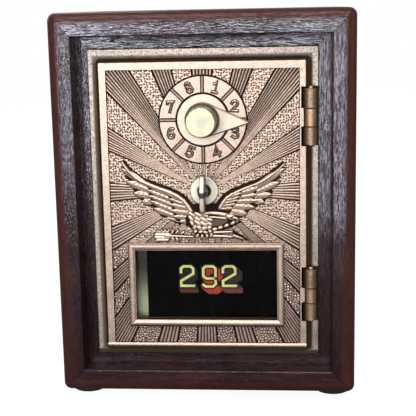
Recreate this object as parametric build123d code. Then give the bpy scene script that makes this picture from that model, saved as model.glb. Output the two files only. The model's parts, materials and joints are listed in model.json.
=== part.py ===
from build123d import *
import math
import os

# A post office box door of cast brass, hung in a mitred hardwood case that stands on four feet.
# Millimetres. X runs to the right, Y into the case, Z up. The origin is under the middle of the whole
# object, on the surface that it stands on. Inside this file a place on the door is given as
# x, "out" (distance in front of the brass frame's face, negative behind it) and "up" (from its centre).

# --- hardwood case ---------------------------------------------------------------------------------
case_depth = 108.0
board_thick = 19.05
rebate_width = 9.5          # width of the proud rim that the rebate leaves on the front of the boards
rebate_depth = 10.7
front_round = 4.0           # rounding of the outer front edges
lip_round = 0.6
corner_round = 3.0          # rounding of the four long corners
glue_line = 0.12            # seam between two mitred boards

back_thick = 6.0
back_step = 5.0             # width of the rebate that takes the back panel
back_gap = 0.15
back_screw_inset = 5.5

foot_diameter = 15.5
foot_height = 3.5
foot_side_inset = 8.6       # foot centre from the side of the case
foot_front_inset = 15.5     # foot centre from the front and from the back
foot_taper = 0.5

# --- brass frame -----------------------------------------------------------------------------------
frame_width = 92.4
frame_height = 127.0
frame_thick = 3.5
frame_edge_round = 0.5
roll = 1.5                  # rounded inner edge of the frame, all round the door
door_stop_depth = 1.9       # how far behind the frame's face the door closes
sleeve_inset = 4.85         # outside of the sleeve from the outside of the frame
sleeve_wall = 1.5
sleeve_depth = 3.2          # how far the sleeve reaches into the case behind the frame
sleeve_gap = 0.35           # sleeve to case
keeper_reach = 2.2
keeper_height = 12.2
bolt_clear = 1.4            # drawn bolt to the keeper

# --- door ------------------------------------------------------------------------------------------
band_left, band_right = 4.5, 4.95       # outside of the frame to the door's edge
band_top, band_bottom = 5.3, 2.8
gap_left, gap_right, gap_top, gap_bottom = 0.6, 1.45, 0.8, 0.5
door_proud = 2.2            # door's face in front of the frame's face
door_back_gap = 0.3
door_edge_round = 0.45
border = 3.05               # raised border round the sunk field
border_foot = 2.5           # the same at the bottom
field_sink = 1.2
corner_radius = 1.5

window_width = 58.4
window_height = 29.6
window_centre = 30.2        # above the foot of the frame
window_rim = 2.7

# --- hinges ------------------------------------------------------------------------------------------
hinge_inset = 3.2           # axis from the right edge of the frame
hinge_axis_out = 1.2
upper_hinge_top = 16.5      # below the top of the frame
lower_hinge_foot = 15.8     # above the foot of the frame
upper_knuckles = (7.65, 7.2, 7.05)      # heights from the top down: frame's, door's, frame's
lower_knuckles = (7.8, 6.1, 7.15)
knuckle_gap = (0.15, 0.15)
upper_knuckle_radius = 3.05
lower_knuckle_radius = 2.75
pocket_reach = 3.9          # from the hinge's axis into the door
pocket_depth = 2.7          # behind the frame's face
pocket_gap = 0.75
knuckle_web = 2.6
pin_radius = 1.2
pin_run = 0.05              # running clearance of the door's knuckle on its pin
pin_head_radius = 1.75
pin_head_height = 1.2
pin_tail_height = 0.8

# --- dial and combination wheels -----------------------------------------------------------------------
dial_drop = 28.5            # dial's centre below the top of the frame
dial_radius = 17.7
dial_step = 0.2             # dial's plain face below the door's border
divider_width = 0.9
divider_proud = 0.3
hub_radius = 10.3
hub_thick = 1.0
hub_gap = 0.2
pointer_round = 7.1
pointer_reach = 18.5
pointer_thick = 1.3
pointer_lift = 0.4          # underside of the pointer above the foot of the hub
pointer_rest = 3.5          # degrees that the pointer stands below the horizontal
knob_radius = 5.85
knob_foot_radius = 6.3
knob_front = 14.0           # front of the knob and of the handle, out from the frame's face
knob_edge = 0.5
spindle_radius = 2.0
spindle_run = 0.05
wheel_radius = 14.0
wheel_thick = 1.6
wheel_pitch = 2.4           # from one wheel to the next, with a spacer between
wheel_first = 1.6           # front of the first wheel behind the door's back
gate_width = 4.0
gate_depth = 3.0
fly_radius = 0.7
fly_ring = 9.0
fly_turns = (60, 85)        # degrees round from the right of the pins on the backs of two wheels
spacer_radius = 4.0
spacer_gap = 0.1
clip_radius = 3.4
clip_thick = 0.8

# --- latch ---------------------------------------------------------------------------------------------
latch_drop = 28.8           # latch spindle below the dial spindle
escutcheon_radius = 5.75
escutcheon_proud = 1.4      # above the sunk field
escutcheon_gap = 0.3        # round the latch spindle
handle_height = 15.6
handle_depth = 8.6
handle_thick = 2.15
latch_throw = 5.0
crank = 5.5                 # drive pin from the latch spindle's centre
drive_pin_radius = 1.2
drive_pin_play = 0.2
cam_radius = 7.4
cam_thick = 2.0
cam_front = 2.6             # behind the door's back
bolt_front = 5.4            # behind the door's back
bolt_thick = 3.0
bolt_height = 7.5
bolt_drop = 2.3             # top of the bolt below the latch spindle
bolt_end = 18.0
bolt_play = 0.15
fence_left, fence_right = -24.0, -20.0
fence_rise = 3.0            # above the wheels' centre
fence_gap = 0.5             # fence's nose to the wheels' rims
guide_x = 11.0
guide_width = 3.0
guide_wall = 1.2
guide_foot = 3.6
guide_foot_thick = 1.0

# --- lock case on the back of the door -----------------------------------------------------------------
lock_left, lock_right = -32.0, 24.0
lock_over_dial = 18.0
lock_under_latch = 16.4
lock_depth = 13.4
lock_wall = 1.2
lock_ear = 3.6
lock_ear_width = 8.0

# --- glass ---------------------------------------------------------------------------------------------
glass_overlap = 2.4
glass_thick = 2.0
number_plate_thick = 0.6
clear_margin = 4.2          # strip at the left that the number plate leaves clear
retainer_lip = 2.2          # how far the retainer's lip reaches in beyond the plate's left edge
retainer_back = 1.0
retainer_wall = 1.6
retainer_gap = 0.2
retainer_ear = 4.6
retainer_ear_lap = 0.9      # of the ear's width that runs into the ring
retainer_ear_height = 7.0

# --- small screws ----------------------------------------------------------------------------------------
small_screw = dict(head=1.7, head_height=0.9, shank=0.9, slot=0.45)
frame_screw = dict(head=1.35, head_height=0.5, shank=0.75, slot=0.35)
wood_screw = dict(head=3.0, head_height=1.8, shank=1.5, slot=0.7)
frame_screw_inset = 23.5    # from the top and from the foot of the frame
frame_screw_length = 9.0
wood_screw_length = 12.0
foot_screw_length = 11.0

# --- worked out from the sizes above ---------------------------------------------------------------------
opening_half_width = frame_width / 2 - sleeve_inset + sleeve_gap
opening_half_height = frame_height / 2 - sleeve_inset + sleeve_gap
case_width = 2 * (opening_half_width + board_thick)
case_height = 2 * (opening_half_height + board_thick)
overall_depth = case_depth + knob_front - (rebate_depth - frame_thick)
case_front_y = -overall_depth / 2 + knob_front - (rebate_depth - frame_thick)
case_back_y = case_front_y + case_depth
ledge_y = case_front_y + rebate_depth
frame_y = ledge_y - frame_thick
centre_z = foot_height + case_height / 2
door_back = -(door_stop_depth - door_back_gap)
field = door_proud - field_sink
door_left, door_right = -frame_width / 2 + band_left, frame_width / 2 - band_right
door_bottom, door_top = -frame_height / 2 + band_bottom, frame_height / 2 - band_top
window_up = -frame_height / 2 + window_centre
dial_up = frame_height / 2 - dial_drop
latch_up = dial_up - latch_drop
bolt_top = latch_up - bolt_drop
bolt_bottom = bolt_top - bolt_height
fence_top = dial_up + fence_rise
lock_bottom, lock_top = latch_up - lock_under_latch, dial_up + lock_over_dial
hinge_axis_x = frame_width / 2 - hinge_inset
pocket_left = hinge_axis_x - pocket_reach
frame_screw_up = frame_height / 2 - frame_screw_inset
sleeve_half_width = opening_half_width - sleeve_gap
sleeve_half_height = opening_half_height - sleeve_gap
sleeve_back = -frame_thick - sleeve_depth
keeper_edge = -sleeve_half_width + sleeve_wall + keeper_reach
bolt_tip = keeper_edge + bolt_clear
latch_swing = 2 * math.asin(latch_throw / 2 / crank)      # radians, for the bolt's whole throw
START, END = Align.MIN, Align.MAX


def knuckle_heights(top, heights):
    """Top and foot of each of a hinge's three knuckles, from the top one down."""
    spans = []
    for height, gap in zip(heights, (*knuckle_gap, 0)):
        spans.append((top, top - height))
        top -= height + gap
    return spans


hinges = {
    "upper": (knuckle_heights(frame_height / 2 - upper_hinge_top, upper_knuckles), upper_knuckle_radius),
    "lower": (knuckle_heights(lower_hinge_foot - frame_height / 2 + sum(lower_knuckles) + sum(knuckle_gap),
                              lower_knuckles), lower_knuckle_radius),
}


def block(x0, x1, out0, out1, up0, up1):
    """Box between two x, two distances out from the frame's face and two heights from its centre."""
    size = (abs(x1 - x0), abs(out1 - out0), abs(up1 - up0))
    place = Pos(min(x0, x1), frame_y - max(out0, out1), centre_z + min(up0, up1))
    return place * Box(*size, align=(START, START, START))


def disc(x, up, radius, out0, out1):
    """Cylinder whose axis runs straight out of the door."""
    place = Pos(x, frame_y - max(out0, out1), centre_z + up) * Rot(-90, 0, 0)
    return place * Cylinder(radius, abs(out1 - out0), align=(Align.CENTER, Align.CENTER, START))


def upright(x, out, radius, up0, up1):
    """Cylinder whose axis stands upright."""
    place = Pos(x, frame_y - out, centre_z + min(up0, up1))
    return place * Cylinder(radius, abs(up1 - up0), align=(Align.CENTER, Align.CENTER, START))


def edges_at_front(shape, out):
    """The edges that lie in the plane at that distance out."""
    return [e for e in shape.edges()
            if all(abs(v.Y - (frame_y - out)) < 1e-4 for v in e.vertices())
            and abs(e.center().Y - (frame_y - out)) < 1e-4]


def rounded_opening(x0, x1, out0, out1, up0, up1, radius):
    """Block with its four edges along Y rounded."""
    shape = block(x0, x1, out0, out1, up0, up1)
    return fillet(shape.edges().filter_by(Axis.Y), radius)


def screw(sizes, length):
    """Countersunk screw along +Z, head up, the head's top at the origin."""
    head = Cone(sizes["shank"], sizes["head"], sizes["head_height"], align=(Align.CENTER, Align.CENTER, END))
    shank = Pos(0, 0, -sizes["head_height"]) * Cylinder(
        sizes["shank"], length - sizes["head_height"], align=(Align.CENTER, Align.CENTER, END))
    cut = Box(3 * sizes["head"], sizes["slot"], sizes["slot"], align=(Align.CENTER, Align.CENTER, END))
    return head + shank - cut


def pan_screw(sizes, length):
    """Cheese-head screw along +Z, the underside of its head at the origin."""
    head = Cylinder(sizes["head"], sizes["head_height"], align=(Align.CENTER, Align.CENTER, START))
    shank = Cylinder(sizes["shank"], length, align=(Align.CENTER, Align.CENTER, END))
    cut = Pos(0, 0, sizes["head_height"]) * Box(
        3 * sizes["head"], sizes["slot"], sizes["slot"], align=(Align.CENTER, Align.CENTER, END))
    return head + shank - cut


def from_behind(x, out, up):
    """Place of a screw that is driven into the door from behind; its +Z points into the case."""
    return Pos(x, frame_y - out, centre_z + up) * Rot(-90, 0, 0)


def write(name, *solids):
    shape = solids[0] if len(solids) == 1 else Compound(children=list(solids))
    export_step(shape, f"parts/{name}.step")


# --- the case ----------------------------------------------------------------------------------------------
def back_screw_places():
    across = opening_half_width + back_step - back_gap - back_screw_inset
    along = opening_half_height + back_step - back_gap - back_screw_inset
    return [(sx * across, sz * along) for sx in (-1, 1) for sz in (-1, 1)]


def foot_places():
    across = case_width / 2 - foot_side_inset
    front, back = case_front_y + foot_front_inset, case_back_y - foot_front_inset
    return {
        "foot_front_left": (-across, front), "foot_front_right": (across, front),
        "foot_back_left": (-across, back), "foot_back_right": (across, back),
    }


def foot_screw_holes():
    """Pilot holes in the bottom board, the same radius as the screws."""
    return [Pos(x, y, 0) * Cylinder(wood_screw["shank"], foot_height + foot_screw_length,
                                    align=(Align.CENTER, Align.CENTER, START))
            for x, y in foot_places().values()]


def frame_screw_places():
    """(side, up) of the screws that hold the brass frame's sleeve to the side boards."""
    return [(side, up) for side in (-1, 1) for up in (-frame_screw_up, frame_screw_up)]


def frame_screw_at(side, up):
    inner_face = side * (sleeve_half_width - sleeve_wall)
    out = (sleeve_back - frame_thick) / 2
    place = Pos(inner_face, frame_y - out, centre_z + up) * Rot(0, -90 * side, 0)
    return place * screw(frame_screw, frame_screw_length)


def case_boards():
    middle = (Align.CENTER, START, Align.CENTER)
    shell = Pos(0, case_front_y, centre_z) * Box(case_width, case_depth, case_height, align=middle)
    shell = fillet(shell.edges().filter_by(Axis.Y), corner_round)
    front = [e for e in shell.edges() if abs(e.center().Y - case_front_y) < 1e-4]
    shell = fillet(front, front_round)
    bore = Pos(0, case_front_y, centre_z) * Box(
        2 * opening_half_width, case_depth, 2 * opening_half_height, align=middle)
    step = Pos(0, case_front_y, centre_z) * Box(
        case_width - 2 * rebate_width, rebate_depth, case_height - 2 * rebate_width, align=middle)
    back = Pos(0, case_back_y - back_thick, centre_z) * Box(
        2 * (opening_half_width + back_step), back_thick, 2 * (opening_half_height + back_step),
        align=middle)
    shell = shell - bore - step - back
    half = case_width / 2 - rebate_width
    lip = [e for e in shell.edges()
           if abs(e.center().Y - case_front_y) < 1e-4 and abs(e.center().X) < half + 0.01
           and abs(e.center().Z - centre_z) < case_height / 2 - rebate_width + 0.01]
    shell = fillet(lip, lip_round)
    for hole in foot_screw_holes():
        shell -= hole
    for side, up in frame_screw_places():
        shell -= frame_screw_at(side, up)
    for x, up in back_screw_places():
        shell -= back_screw_at(x, up)
    # Each board is what lies in its own quarter, cut on the mitre through the case's corners.
    meet = (case_height - case_width) / 2
    reach, seam = 2 * case_height, glue_line / math.sqrt(2)
    quarters = {
        "case_top_board": [(-reach, meet + reach), (0, meet), (reach, meet + reach)],
        "case_bottom_board": [(-reach, -meet - reach), (reach, -meet - reach), (0, -meet)],
        "case_left_board": [(0, meet), (-reach, meet + reach), (-reach, -meet - reach), (0, -meet)],
        "case_right_board": [(0, meet), (0, -meet), (reach, -meet - reach), (reach, meet + reach)],
    }
    shift = {"case_top_board": (0, seam), "case_bottom_board": (0, -seam),
             "case_left_board": (-seam, 0), "case_right_board": (seam, 0)}
    boards = {}
    for name, corners in quarters.items():
        dx, dz = shift[name]
        outline = Polyline(*[(x + dx, z + dz) for x, z in corners], close=True)
        face = Plane.XZ * make_face(outline)
        wedge = Pos(0, -case_depth, centre_z) * extrude(face, -3 * case_depth)
        boards[name] = shell & wedge
    return boards


def back_screw_at(x, up):
    return Pos(x, case_back_y, centre_z + up) * Rot(-90, 0, 0) * screw(wood_screw, wood_screw_length)


def back_panel():
    width = 2 * (opening_half_width + back_step - back_gap)
    height = 2 * (opening_half_height + back_step - back_gap)
    panel = Pos(0, case_back_y - back_thick, centre_z) * Box(
        width, back_thick, height, align=(Align.CENTER, START, Align.CENTER))
    for x, up in back_screw_places():
        panel -= back_screw_at(x, up)
    return panel


def foot(x, y):
    body = Cone(foot_diameter / 2 - foot_taper, foot_diameter / 2, foot_height,
                align=(Align.CENTER, Align.CENTER, START))
    body = fillet(body.edges().filter_by(GeomType.CIRCLE).sort_by(Axis.Z)[:1], 0.8)
    recess = Cylinder(wood_screw["head"] + 0.3, wood_screw["head_height"] + 0.4,
                      align=(Align.CENTER, Align.CENTER, START))
    bore = Cylinder(wood_screw["shank"], foot_height, align=(Align.CENTER, Align.CENTER, START))
    return Pos(x, y, 0) * (body - recess - bore)


def foot_screw(x, y):
    seat = wood_screw["head_height"] + 0.4
    return Pos(x, y, seat) * Rot(180, 0, 0) * pan_screw(wood_screw, foot_height + foot_screw_length - seat)


# --- the brass frame ---------------------------------------------------------------------------------------
def frame_casting():
    half_w, half_h = frame_width / 2, frame_height / 2
    plate = block(-half_w, half_w, -frame_thick, 0, -half_h, half_h)
    plate = fillet(edges_at_front(plate, 0), frame_edge_round)
    left, right = door_left - gap_left, door_right + gap_right
    bottom, top = door_bottom - gap_bottom, door_top + gap_top
    plate -= rounded_opening(left, right, -door_stop_depth, 1, bottom, top, corner_radius)
    inner = [e for e in edges_at_front(plate, 0)
             if abs(e.center().X) < half_w - 1 and abs(e.center().Z - centre_z) < half_h - 1]
    plate = fillet(inner, roll)
    inside_w, inside_h = sleeve_half_width - sleeve_wall, sleeve_half_height - sleeve_wall
    sleeve = block(-sleeve_half_width, sleeve_half_width, sleeve_back, -frame_thick,
                   -sleeve_half_height, sleeve_half_height)
    casting = plate + sleeve - block(-inside_w, inside_w, sleeve_back - 1, 1, -inside_h, inside_h)
    # Keeper on the latch side: the bolt's tip passes behind it.
    bolt_middle = (bolt_top + bolt_bottom) / 2
    casting += block(-inside_w - sleeve_wall / 2, keeper_edge, sleeve_back, -frame_thick,
                     bolt_middle - keeper_height / 2, bolt_middle + keeper_height / 2)
    for (above, _, below), radius in hinges.values():
        top, foot = above[0], below[1]
        casting -= block(inside_w, half_w + 1, -pocket_depth, 1, foot - pocket_gap, top + pocket_gap)
        for up0, up1 in (above, below):
            casting += upright(hinge_axis_x, hinge_axis_out, radius, up0, up1)
            casting += block(hinge_axis_x - knuckle_web / 2, hinge_axis_x + knuckle_web / 2,
                             -frame_thick, hinge_axis_out, up0, up1)
        casting -= upright(hinge_axis_x, hinge_axis_out, pin_radius, foot - 1, top + 1)
    for side, up in frame_screw_places():
        casting -= frame_screw_at(side, up)
    return casting


def hinge_pin(name):
    knuckles, _ = hinges[name]
    top, foot = knuckles[0][0], knuckles[-1][1]
    pin = upright(hinge_axis_x, hinge_axis_out, pin_radius, foot - pin_tail_height, top + 0.2)
    head = upright(hinge_axis_x, hinge_axis_out, pin_head_radius, top, top + pin_head_height)
    rim = head.edges().filter_by(GeomType.CIRCLE).sort_by(Axis.Z)[-1:]
    tail = pin.edges().filter_by(GeomType.CIRCLE).sort_by(Axis.Z)[:1]
    return fillet(tail, 0.4) + fillet(rim, pin_head_height * 0.8)


# --- the door ----------------------------------------------------------------------------------------------
def door_screw_places():
    """(x, up) of each group of small screws that hold something to the back of the door."""
    ear_up = (lock_bottom - lock_ear / 2, lock_top + lock_ear / 2)
    ear_x = (lock_left + lock_ear_width / 2, lock_right - lock_ear_width / 2)
    ring_edge = window_width / 2 + glass_overlap + retainer_gap + retainer_wall
    half = ring_edge + (retainer_ear - retainer_ear_lap) / 2
    foot_mid = guide_wall + guide_foot / 2
    return {
        "lock_case_screws": [(x, up) for x in ear_x for up in ear_up],
        "retainer_screws": [(side * half, window_up) for side in (-1, 1)],
        "bolt_guide_screws": [(guide_x, bolt_top + bolt_play + foot_mid),
                              (guide_x, bolt_bottom - bolt_play - foot_mid)],
    }


screw_bite = 1.6            # how far the small screws reach into the door


def door_casting():
    door = block(door_left, door_right, door_back, door_proud, door_bottom, door_top)
    door = fillet(door.edges().filter_by(Axis.Y), 0.6)
    door = fillet(edges_at_front(door, door_proud), door_edge_round)
    door -= block(door_left + border, door_right - border + 0.4, field, door_proud + 1,
                  door_bottom + border_foot, door_top - border)
    rim_w, rim_h = window_width / 2 + window_rim, window_height / 2 + window_rim
    rim = block(-rim_w, rim_w, field, door_proud, window_up - rim_h, window_up + rim_h)
    door += fillet(edges_at_front(rim, door_proud), 0.35)
    door -= block(-window_width / 2, window_width / 2, door_back - 1, door_proud + 1,
                  window_up - window_height / 2, window_up + window_height / 2)
    dial_face = door_proud - dial_step
    door += disc(0, dial_up, dial_radius, field, dial_face)
    for n in range(8):
        bar = Pos(0, frame_y - dial_face - divider_proud, 0) * Box(
            divider_width, divider_proud, dial_radius - hub_radius - 0.3, align=(Align.CENTER, START, START))
        bar = Pos(0, 0, centre_z + dial_up) * Rot(0, 45 * n, 0) * Pos(0, 0, hub_radius + 0.2) * bar
        door += bar
    # Pockets beside the frame's knuckles, and the door's own knuckle in each.
    for (above, own, below), radius in hinges.values():
        for up0, up1 in ((own[0], above[0] + pocket_gap), (below[1] - pocket_gap, own[1])):
            door -= block(pocket_left, door_right + 1, door_back - 1, door_proud + 1, up0, up1)
        door += upright(hinge_axis_x, hinge_axis_out, radius, *own)
        door += block(door_right - 1, hinge_axis_x, hinge_axis_out - radius * 0.8, door_proud - 0.1, *own)
        door -= upright(hinge_axis_x, hinge_axis_out, pin_radius + pin_run, below[1], above[0])
    door -= disc(0, dial_up, spindle_radius + spindle_run, door_back - 1, door_proud + 1)
    door -= disc(0, latch_up, spindle_radius + spindle_run, door_back - 1, door_proud + 1)
    for places in door_screw_places().values():
        for x, up in places:
            door -= disc(x, up, small_screw["shank"], door_back - 1, door_back + screw_bite)
    return door


def small_screws(name, seat):
    """Screws of one group; seat is how far behind the door's back their heads sit."""
    return [from_behind(x, door_back - seat, up) * pan_screw(small_screw, seat + screw_bite - 0.1)
            for x, up in door_screw_places()[name]]


def window_glass():
    half_w, half_h = window_width / 2 + glass_overlap, window_height / 2 + glass_overlap
    return block(-half_w, half_w, door_back - glass_thick, door_back, window_up - half_h, window_up + half_h)


def number_plate():
    """Black plate behind the glass, short of the window's left edge."""
    half_w, half_h = window_width / 2 + glass_overlap, window_height / 2 + glass_overlap
    glass_back = door_back - glass_thick
    return block(-window_width / 2 + clear_margin, half_w, glass_back - number_plate_thick, glass_back,
                 window_up - half_h, window_up + half_h)


def glass_retainer():
    pocket_w = window_width / 2 + glass_overlap + retainer_gap
    pocket_h = window_height / 2 + glass_overlap + retainer_gap
    wall_w, wall_h = pocket_w + retainer_wall, pocket_h + retainer_wall
    back = door_back - glass_thick - number_plate_thick
    ring = block(-wall_w, wall_w, back - retainer_back, door_back, window_up - wall_h, window_up + wall_h)
    ring = fillet(ring.edges().filter_by(Axis.Y), 1.2)
    ear_w = wall_w + retainer_ear - retainer_ear_lap
    ring += block(-ear_w, ear_w, door_back - retainer_back, door_back,
                  window_up - retainer_ear_height / 2, window_up + retainer_ear_height / 2)
    ring -= block(-pocket_w, pocket_w, back, door_back + 1, window_up - pocket_h, window_up + pocket_h)
    ring -= block(-window_width / 2 + clear_margin + retainer_lip, window_width / 2, back - 2, door_back,
                  window_up - window_height / 2, window_up + window_height / 2)
    for x, up in door_screw_places()["retainer_screws"]:
        ring -= disc(x, up, small_screw["shank"], door_back - 2, door_back + 1)
    return ring


def lock_case():
    back = door_back - lock_depth
    shell = block(lock_left, lock_right, back, door_back, lock_bottom, lock_top)
    shell = fillet(shell.edges().filter_by(Axis.Y), 2.0)
    rear = [e for e in shell.edges() if abs(e.center().Y - (frame_y - back)) < 1e-4]
    shell = fillet(rear, 1.0)
    for x0 in (lock_left, lock_right - lock_ear_width):
        shell += block(x0, x0 + lock_ear_width, door_back - lock_wall, door_back,
                       lock_bottom - lock_ear, lock_top + lock_ear)
    shell -= block(lock_left + lock_wall, lock_right - lock_wall, back + lock_wall, door_back + 1,
                   lock_bottom + lock_wall, lock_top - lock_wall)
    # Slot that guides the bolt out of the left wall.
    shell -= block(lock_left - 1, lock_left + 2 * lock_wall,
                   door_back - bolt_front - bolt_thick - bolt_play, door_back - bolt_front + bolt_play,
                   bolt_bottom - bolt_play, bolt_top + bolt_play)
    for x, up in door_screw_places()["lock_case_screws"]:
        shell -= disc(x, up, small_screw["shank"], door_back - 2, door_back + 1)
    return shell


def bolt_guide():
    """Bracket that straddles the bolt's inner end, with a foot above it and one below."""
    low, high = bolt_bottom - bolt_play, bolt_top + bolt_play
    rear = door_back - bolt_front - bolt_thick - bolt_play
    x0, x1 = guide_x - guide_width / 2, guide_x + guide_width / 2
    bridge = block(x0, x1, rear - guide_wall, door_back, low - guide_wall, high + guide_wall)
    bridge -= block(x0 - 1, x1 + 1, rear, door_back + 1, low, high)
    foot_front = door_back - guide_foot_thick
    bridge += block(x0, x1, foot_front, door_back, high, high + guide_wall + guide_foot)
    bridge += block(x0, x1, foot_front, door_back, low - guide_wall - guide_foot, low)
    for x, up in door_screw_places()["bolt_guide_screws"]:
        bridge -= disc(x, up, small_screw["shank"], door_back - 2, door_back + 1)
    return bridge


# --- the dial ----------------------------------------------------------------------------------------------
wheel_fronts = [door_back - wheel_first - n * wheel_pitch for n in range(3)]
hub_foot = door_proud - dial_step + hub_gap
clip_front = wheel_fronts[-1] - wheel_thick - spacer_gap


def dial_pointer():
    """Hub disc with the teardrop pointer on it, seen from in front: its tip points to the right."""
    hub = disc(0, dial_up, hub_radius, hub_foot, hub_foot + hub_thick)
    hub = fillet(edges_at_front(hub, hub_foot + hub_thick), 0.4)
    lift = math.acos(pointer_round / pointer_reach)
    touch = (pointer_round * math.cos(lift), pointer_round * math.sin(lift))
    tip_half = 0.35
    outline = [
        Line((pointer_reach, -tip_half), (pointer_reach, tip_half)),
        Line((pointer_reach, tip_half), touch),
        ThreePointArc(touch, (-pointer_round, 0), (touch[0], -touch[1])),
        Line((touch[0], -touch[1]), (pointer_reach, -tip_half)),
    ]
    face = Plane.XZ * make_face(Wire(outline))
    drop = extrude(face, pointer_thick + hub_thick - pointer_lift)
    drop = Pos(0, frame_y - hub_foot - pointer_lift, centre_z + dial_up) * Rot(0, pointer_rest, 0) * drop
    front = hub_foot + hub_thick + pointer_thick
    drop = chamfer(edges_at_front(drop, front), 0.5)
    body = hub + drop
    return body - disc(0, dial_up, spindle_radius, hub_foot - 1, front + 1)


def dial_knob():
    foot_out = hub_foot + hub_thick + pointer_thick
    length = knob_front - foot_out
    knob = Pos(0, frame_y - foot_out, centre_z + dial_up) * Rot(90, 0, 0) * Cone(
        knob_foot_radius, knob_radius, length, align=(Align.CENTER, Align.CENTER, START))
    knob = fillet(edges_at_front(knob, knob_front), knob_edge)
    return knob - disc(0, dial_up, spindle_radius, foot_out - 1, knob_front - 2)


def dial_spindle():
    return disc(0, dial_up, spindle_radius, clip_front - clip_thick - 0.8, knob_front - 2)


def combination_wheel(front, bore):
    """Wheel with its gate to the left and the two fly pins that pick up its neighbour."""
    wheel = disc(0, dial_up, wheel_radius, front - wheel_thick, front)
    wheel -= disc(0, dial_up, bore, front - wheel_thick - 1, front + 1)
    return wheel - block(-wheel_radius - 1, -wheel_radius + gate_depth, front - wheel_thick - 1, front + 1,
                         dial_up - gate_width / 2, dial_up + gate_width / 2)


def fly_pin(face, side, degrees):
    """Short pin on a wheel's face (side -1 is its back) that pushes the pin of the wheel beside it."""
    turn = math.radians(degrees)
    x, up = fly_ring * math.cos(turn), dial_up + fly_ring * math.sin(turn)
    length = wheel_pitch - wheel_thick - spacer_gap
    return disc(x, up, fly_radius, face, face + side * length)


def spacer(front):
    """Washer between one wheel and the next."""
    thick = wheel_pitch - wheel_thick - 2 * spacer_gap
    start = front - wheel_thick - spacer_gap
    ring = disc(0, dial_up, spacer_radius, start - thick, start)
    return ring - disc(0, dial_up, spindle_radius + spindle_run, start - thick - 1, start + 1)


def spindle_clip(up, front):
    ring = disc(0, up, clip_radius, front - clip_thick, front)
    ring -= disc(0, up, spindle_radius, front - clip_thick - 1, front + 1)
    return ring - block(-1.1, 1.1, front - clip_thick - 1, front + 1, up - clip_radius - 1, up - 0.9)


# --- the latch ---------------------------------------------------------------------------------------------
def escutcheon():
    plate = disc(0, latch_up, escutcheon_radius, field, field + escutcheon_proud)
    plate = fillet(edges_at_front(plate, field + escutcheon_proud), 0.3)
    return plate - disc(0, latch_up, spindle_radius + escutcheon_gap, field - 1, field + escutcheon_proud + 1)


def latch_handle():
    """Oval finger plate on edge, on a short shank."""
    blade = Plane.YZ * extrude(Ellipse(handle_depth / 2, handle_height / 2), handle_thick / 2, both=True)
    rim = [e for e in blade.edges() if e.length > handle_height]
    blade = fillet(rim, 0.6)
    blade = Pos(0, frame_y - knob_front + handle_depth / 2, centre_z + latch_up) * blade
    shank = disc(0, latch_up, spindle_radius, field + escutcheon_proud + 0.6, knob_front - handle_depth / 2)
    return blade + shank


latch_clip_front = door_back - cam_front - cam_thick


def latch_spindle():
    return disc(0, latch_up, spindle_radius, latch_clip_front - clip_thick - 0.1,
                field + escutcheon_proud + 0.6)


def drive_pin_at():
    """(x, up) of the cam's drive pin at rest, below the spindle and to the right of it."""
    turn = latch_swing / 2
    return crank * math.sin(turn), latch_up - crank * math.cos(turn)


def latch_cam():
    front = door_back - cam_front
    cam = disc(0, latch_up, cam_radius, front - cam_thick, front)
    cam -= disc(0, latch_up, spindle_radius, front - cam_thick - 1, front + 1)
    x, up = drive_pin_at()
    return cam - disc(x, up, drive_pin_radius, front - cam_thick - 1, front + 1)


def drive_pin():
    x, up = drive_pin_at()
    return disc(x, up, drive_pin_radius, door_back - bolt_front - bolt_thick, door_back - cam_front)


def latch_bolt():
    front = door_back - bolt_front
    bar = block(bolt_tip, bolt_end, front - bolt_thick, front, bolt_bottom, bolt_top)
    bar += block(fence_left, fence_right, front - bolt_thick, front, bolt_top - 1, fence_top)
    nose_front = door_back - wheel_first - 0.2
    nose = block(fence_left, -wheel_radius - fence_gap, front - bolt_thick, nose_front,
                 dial_up - gate_width / 2 + 0.5, dial_up + gate_width / 2 - 0.5)
    x, up = drive_pin_at()
    lowest = latch_up - crank
    half = drive_pin_radius + drive_pin_play
    bar -= block(x - half, x + half, front - bolt_thick - 1, front + 1, lowest - half, up + half)
    tip = [e for e in bar.edges() if abs(e.center().X - bolt_tip) < 1e-4 and e.length > 4]
    return chamfer(tip, 0.6) + nose


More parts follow.
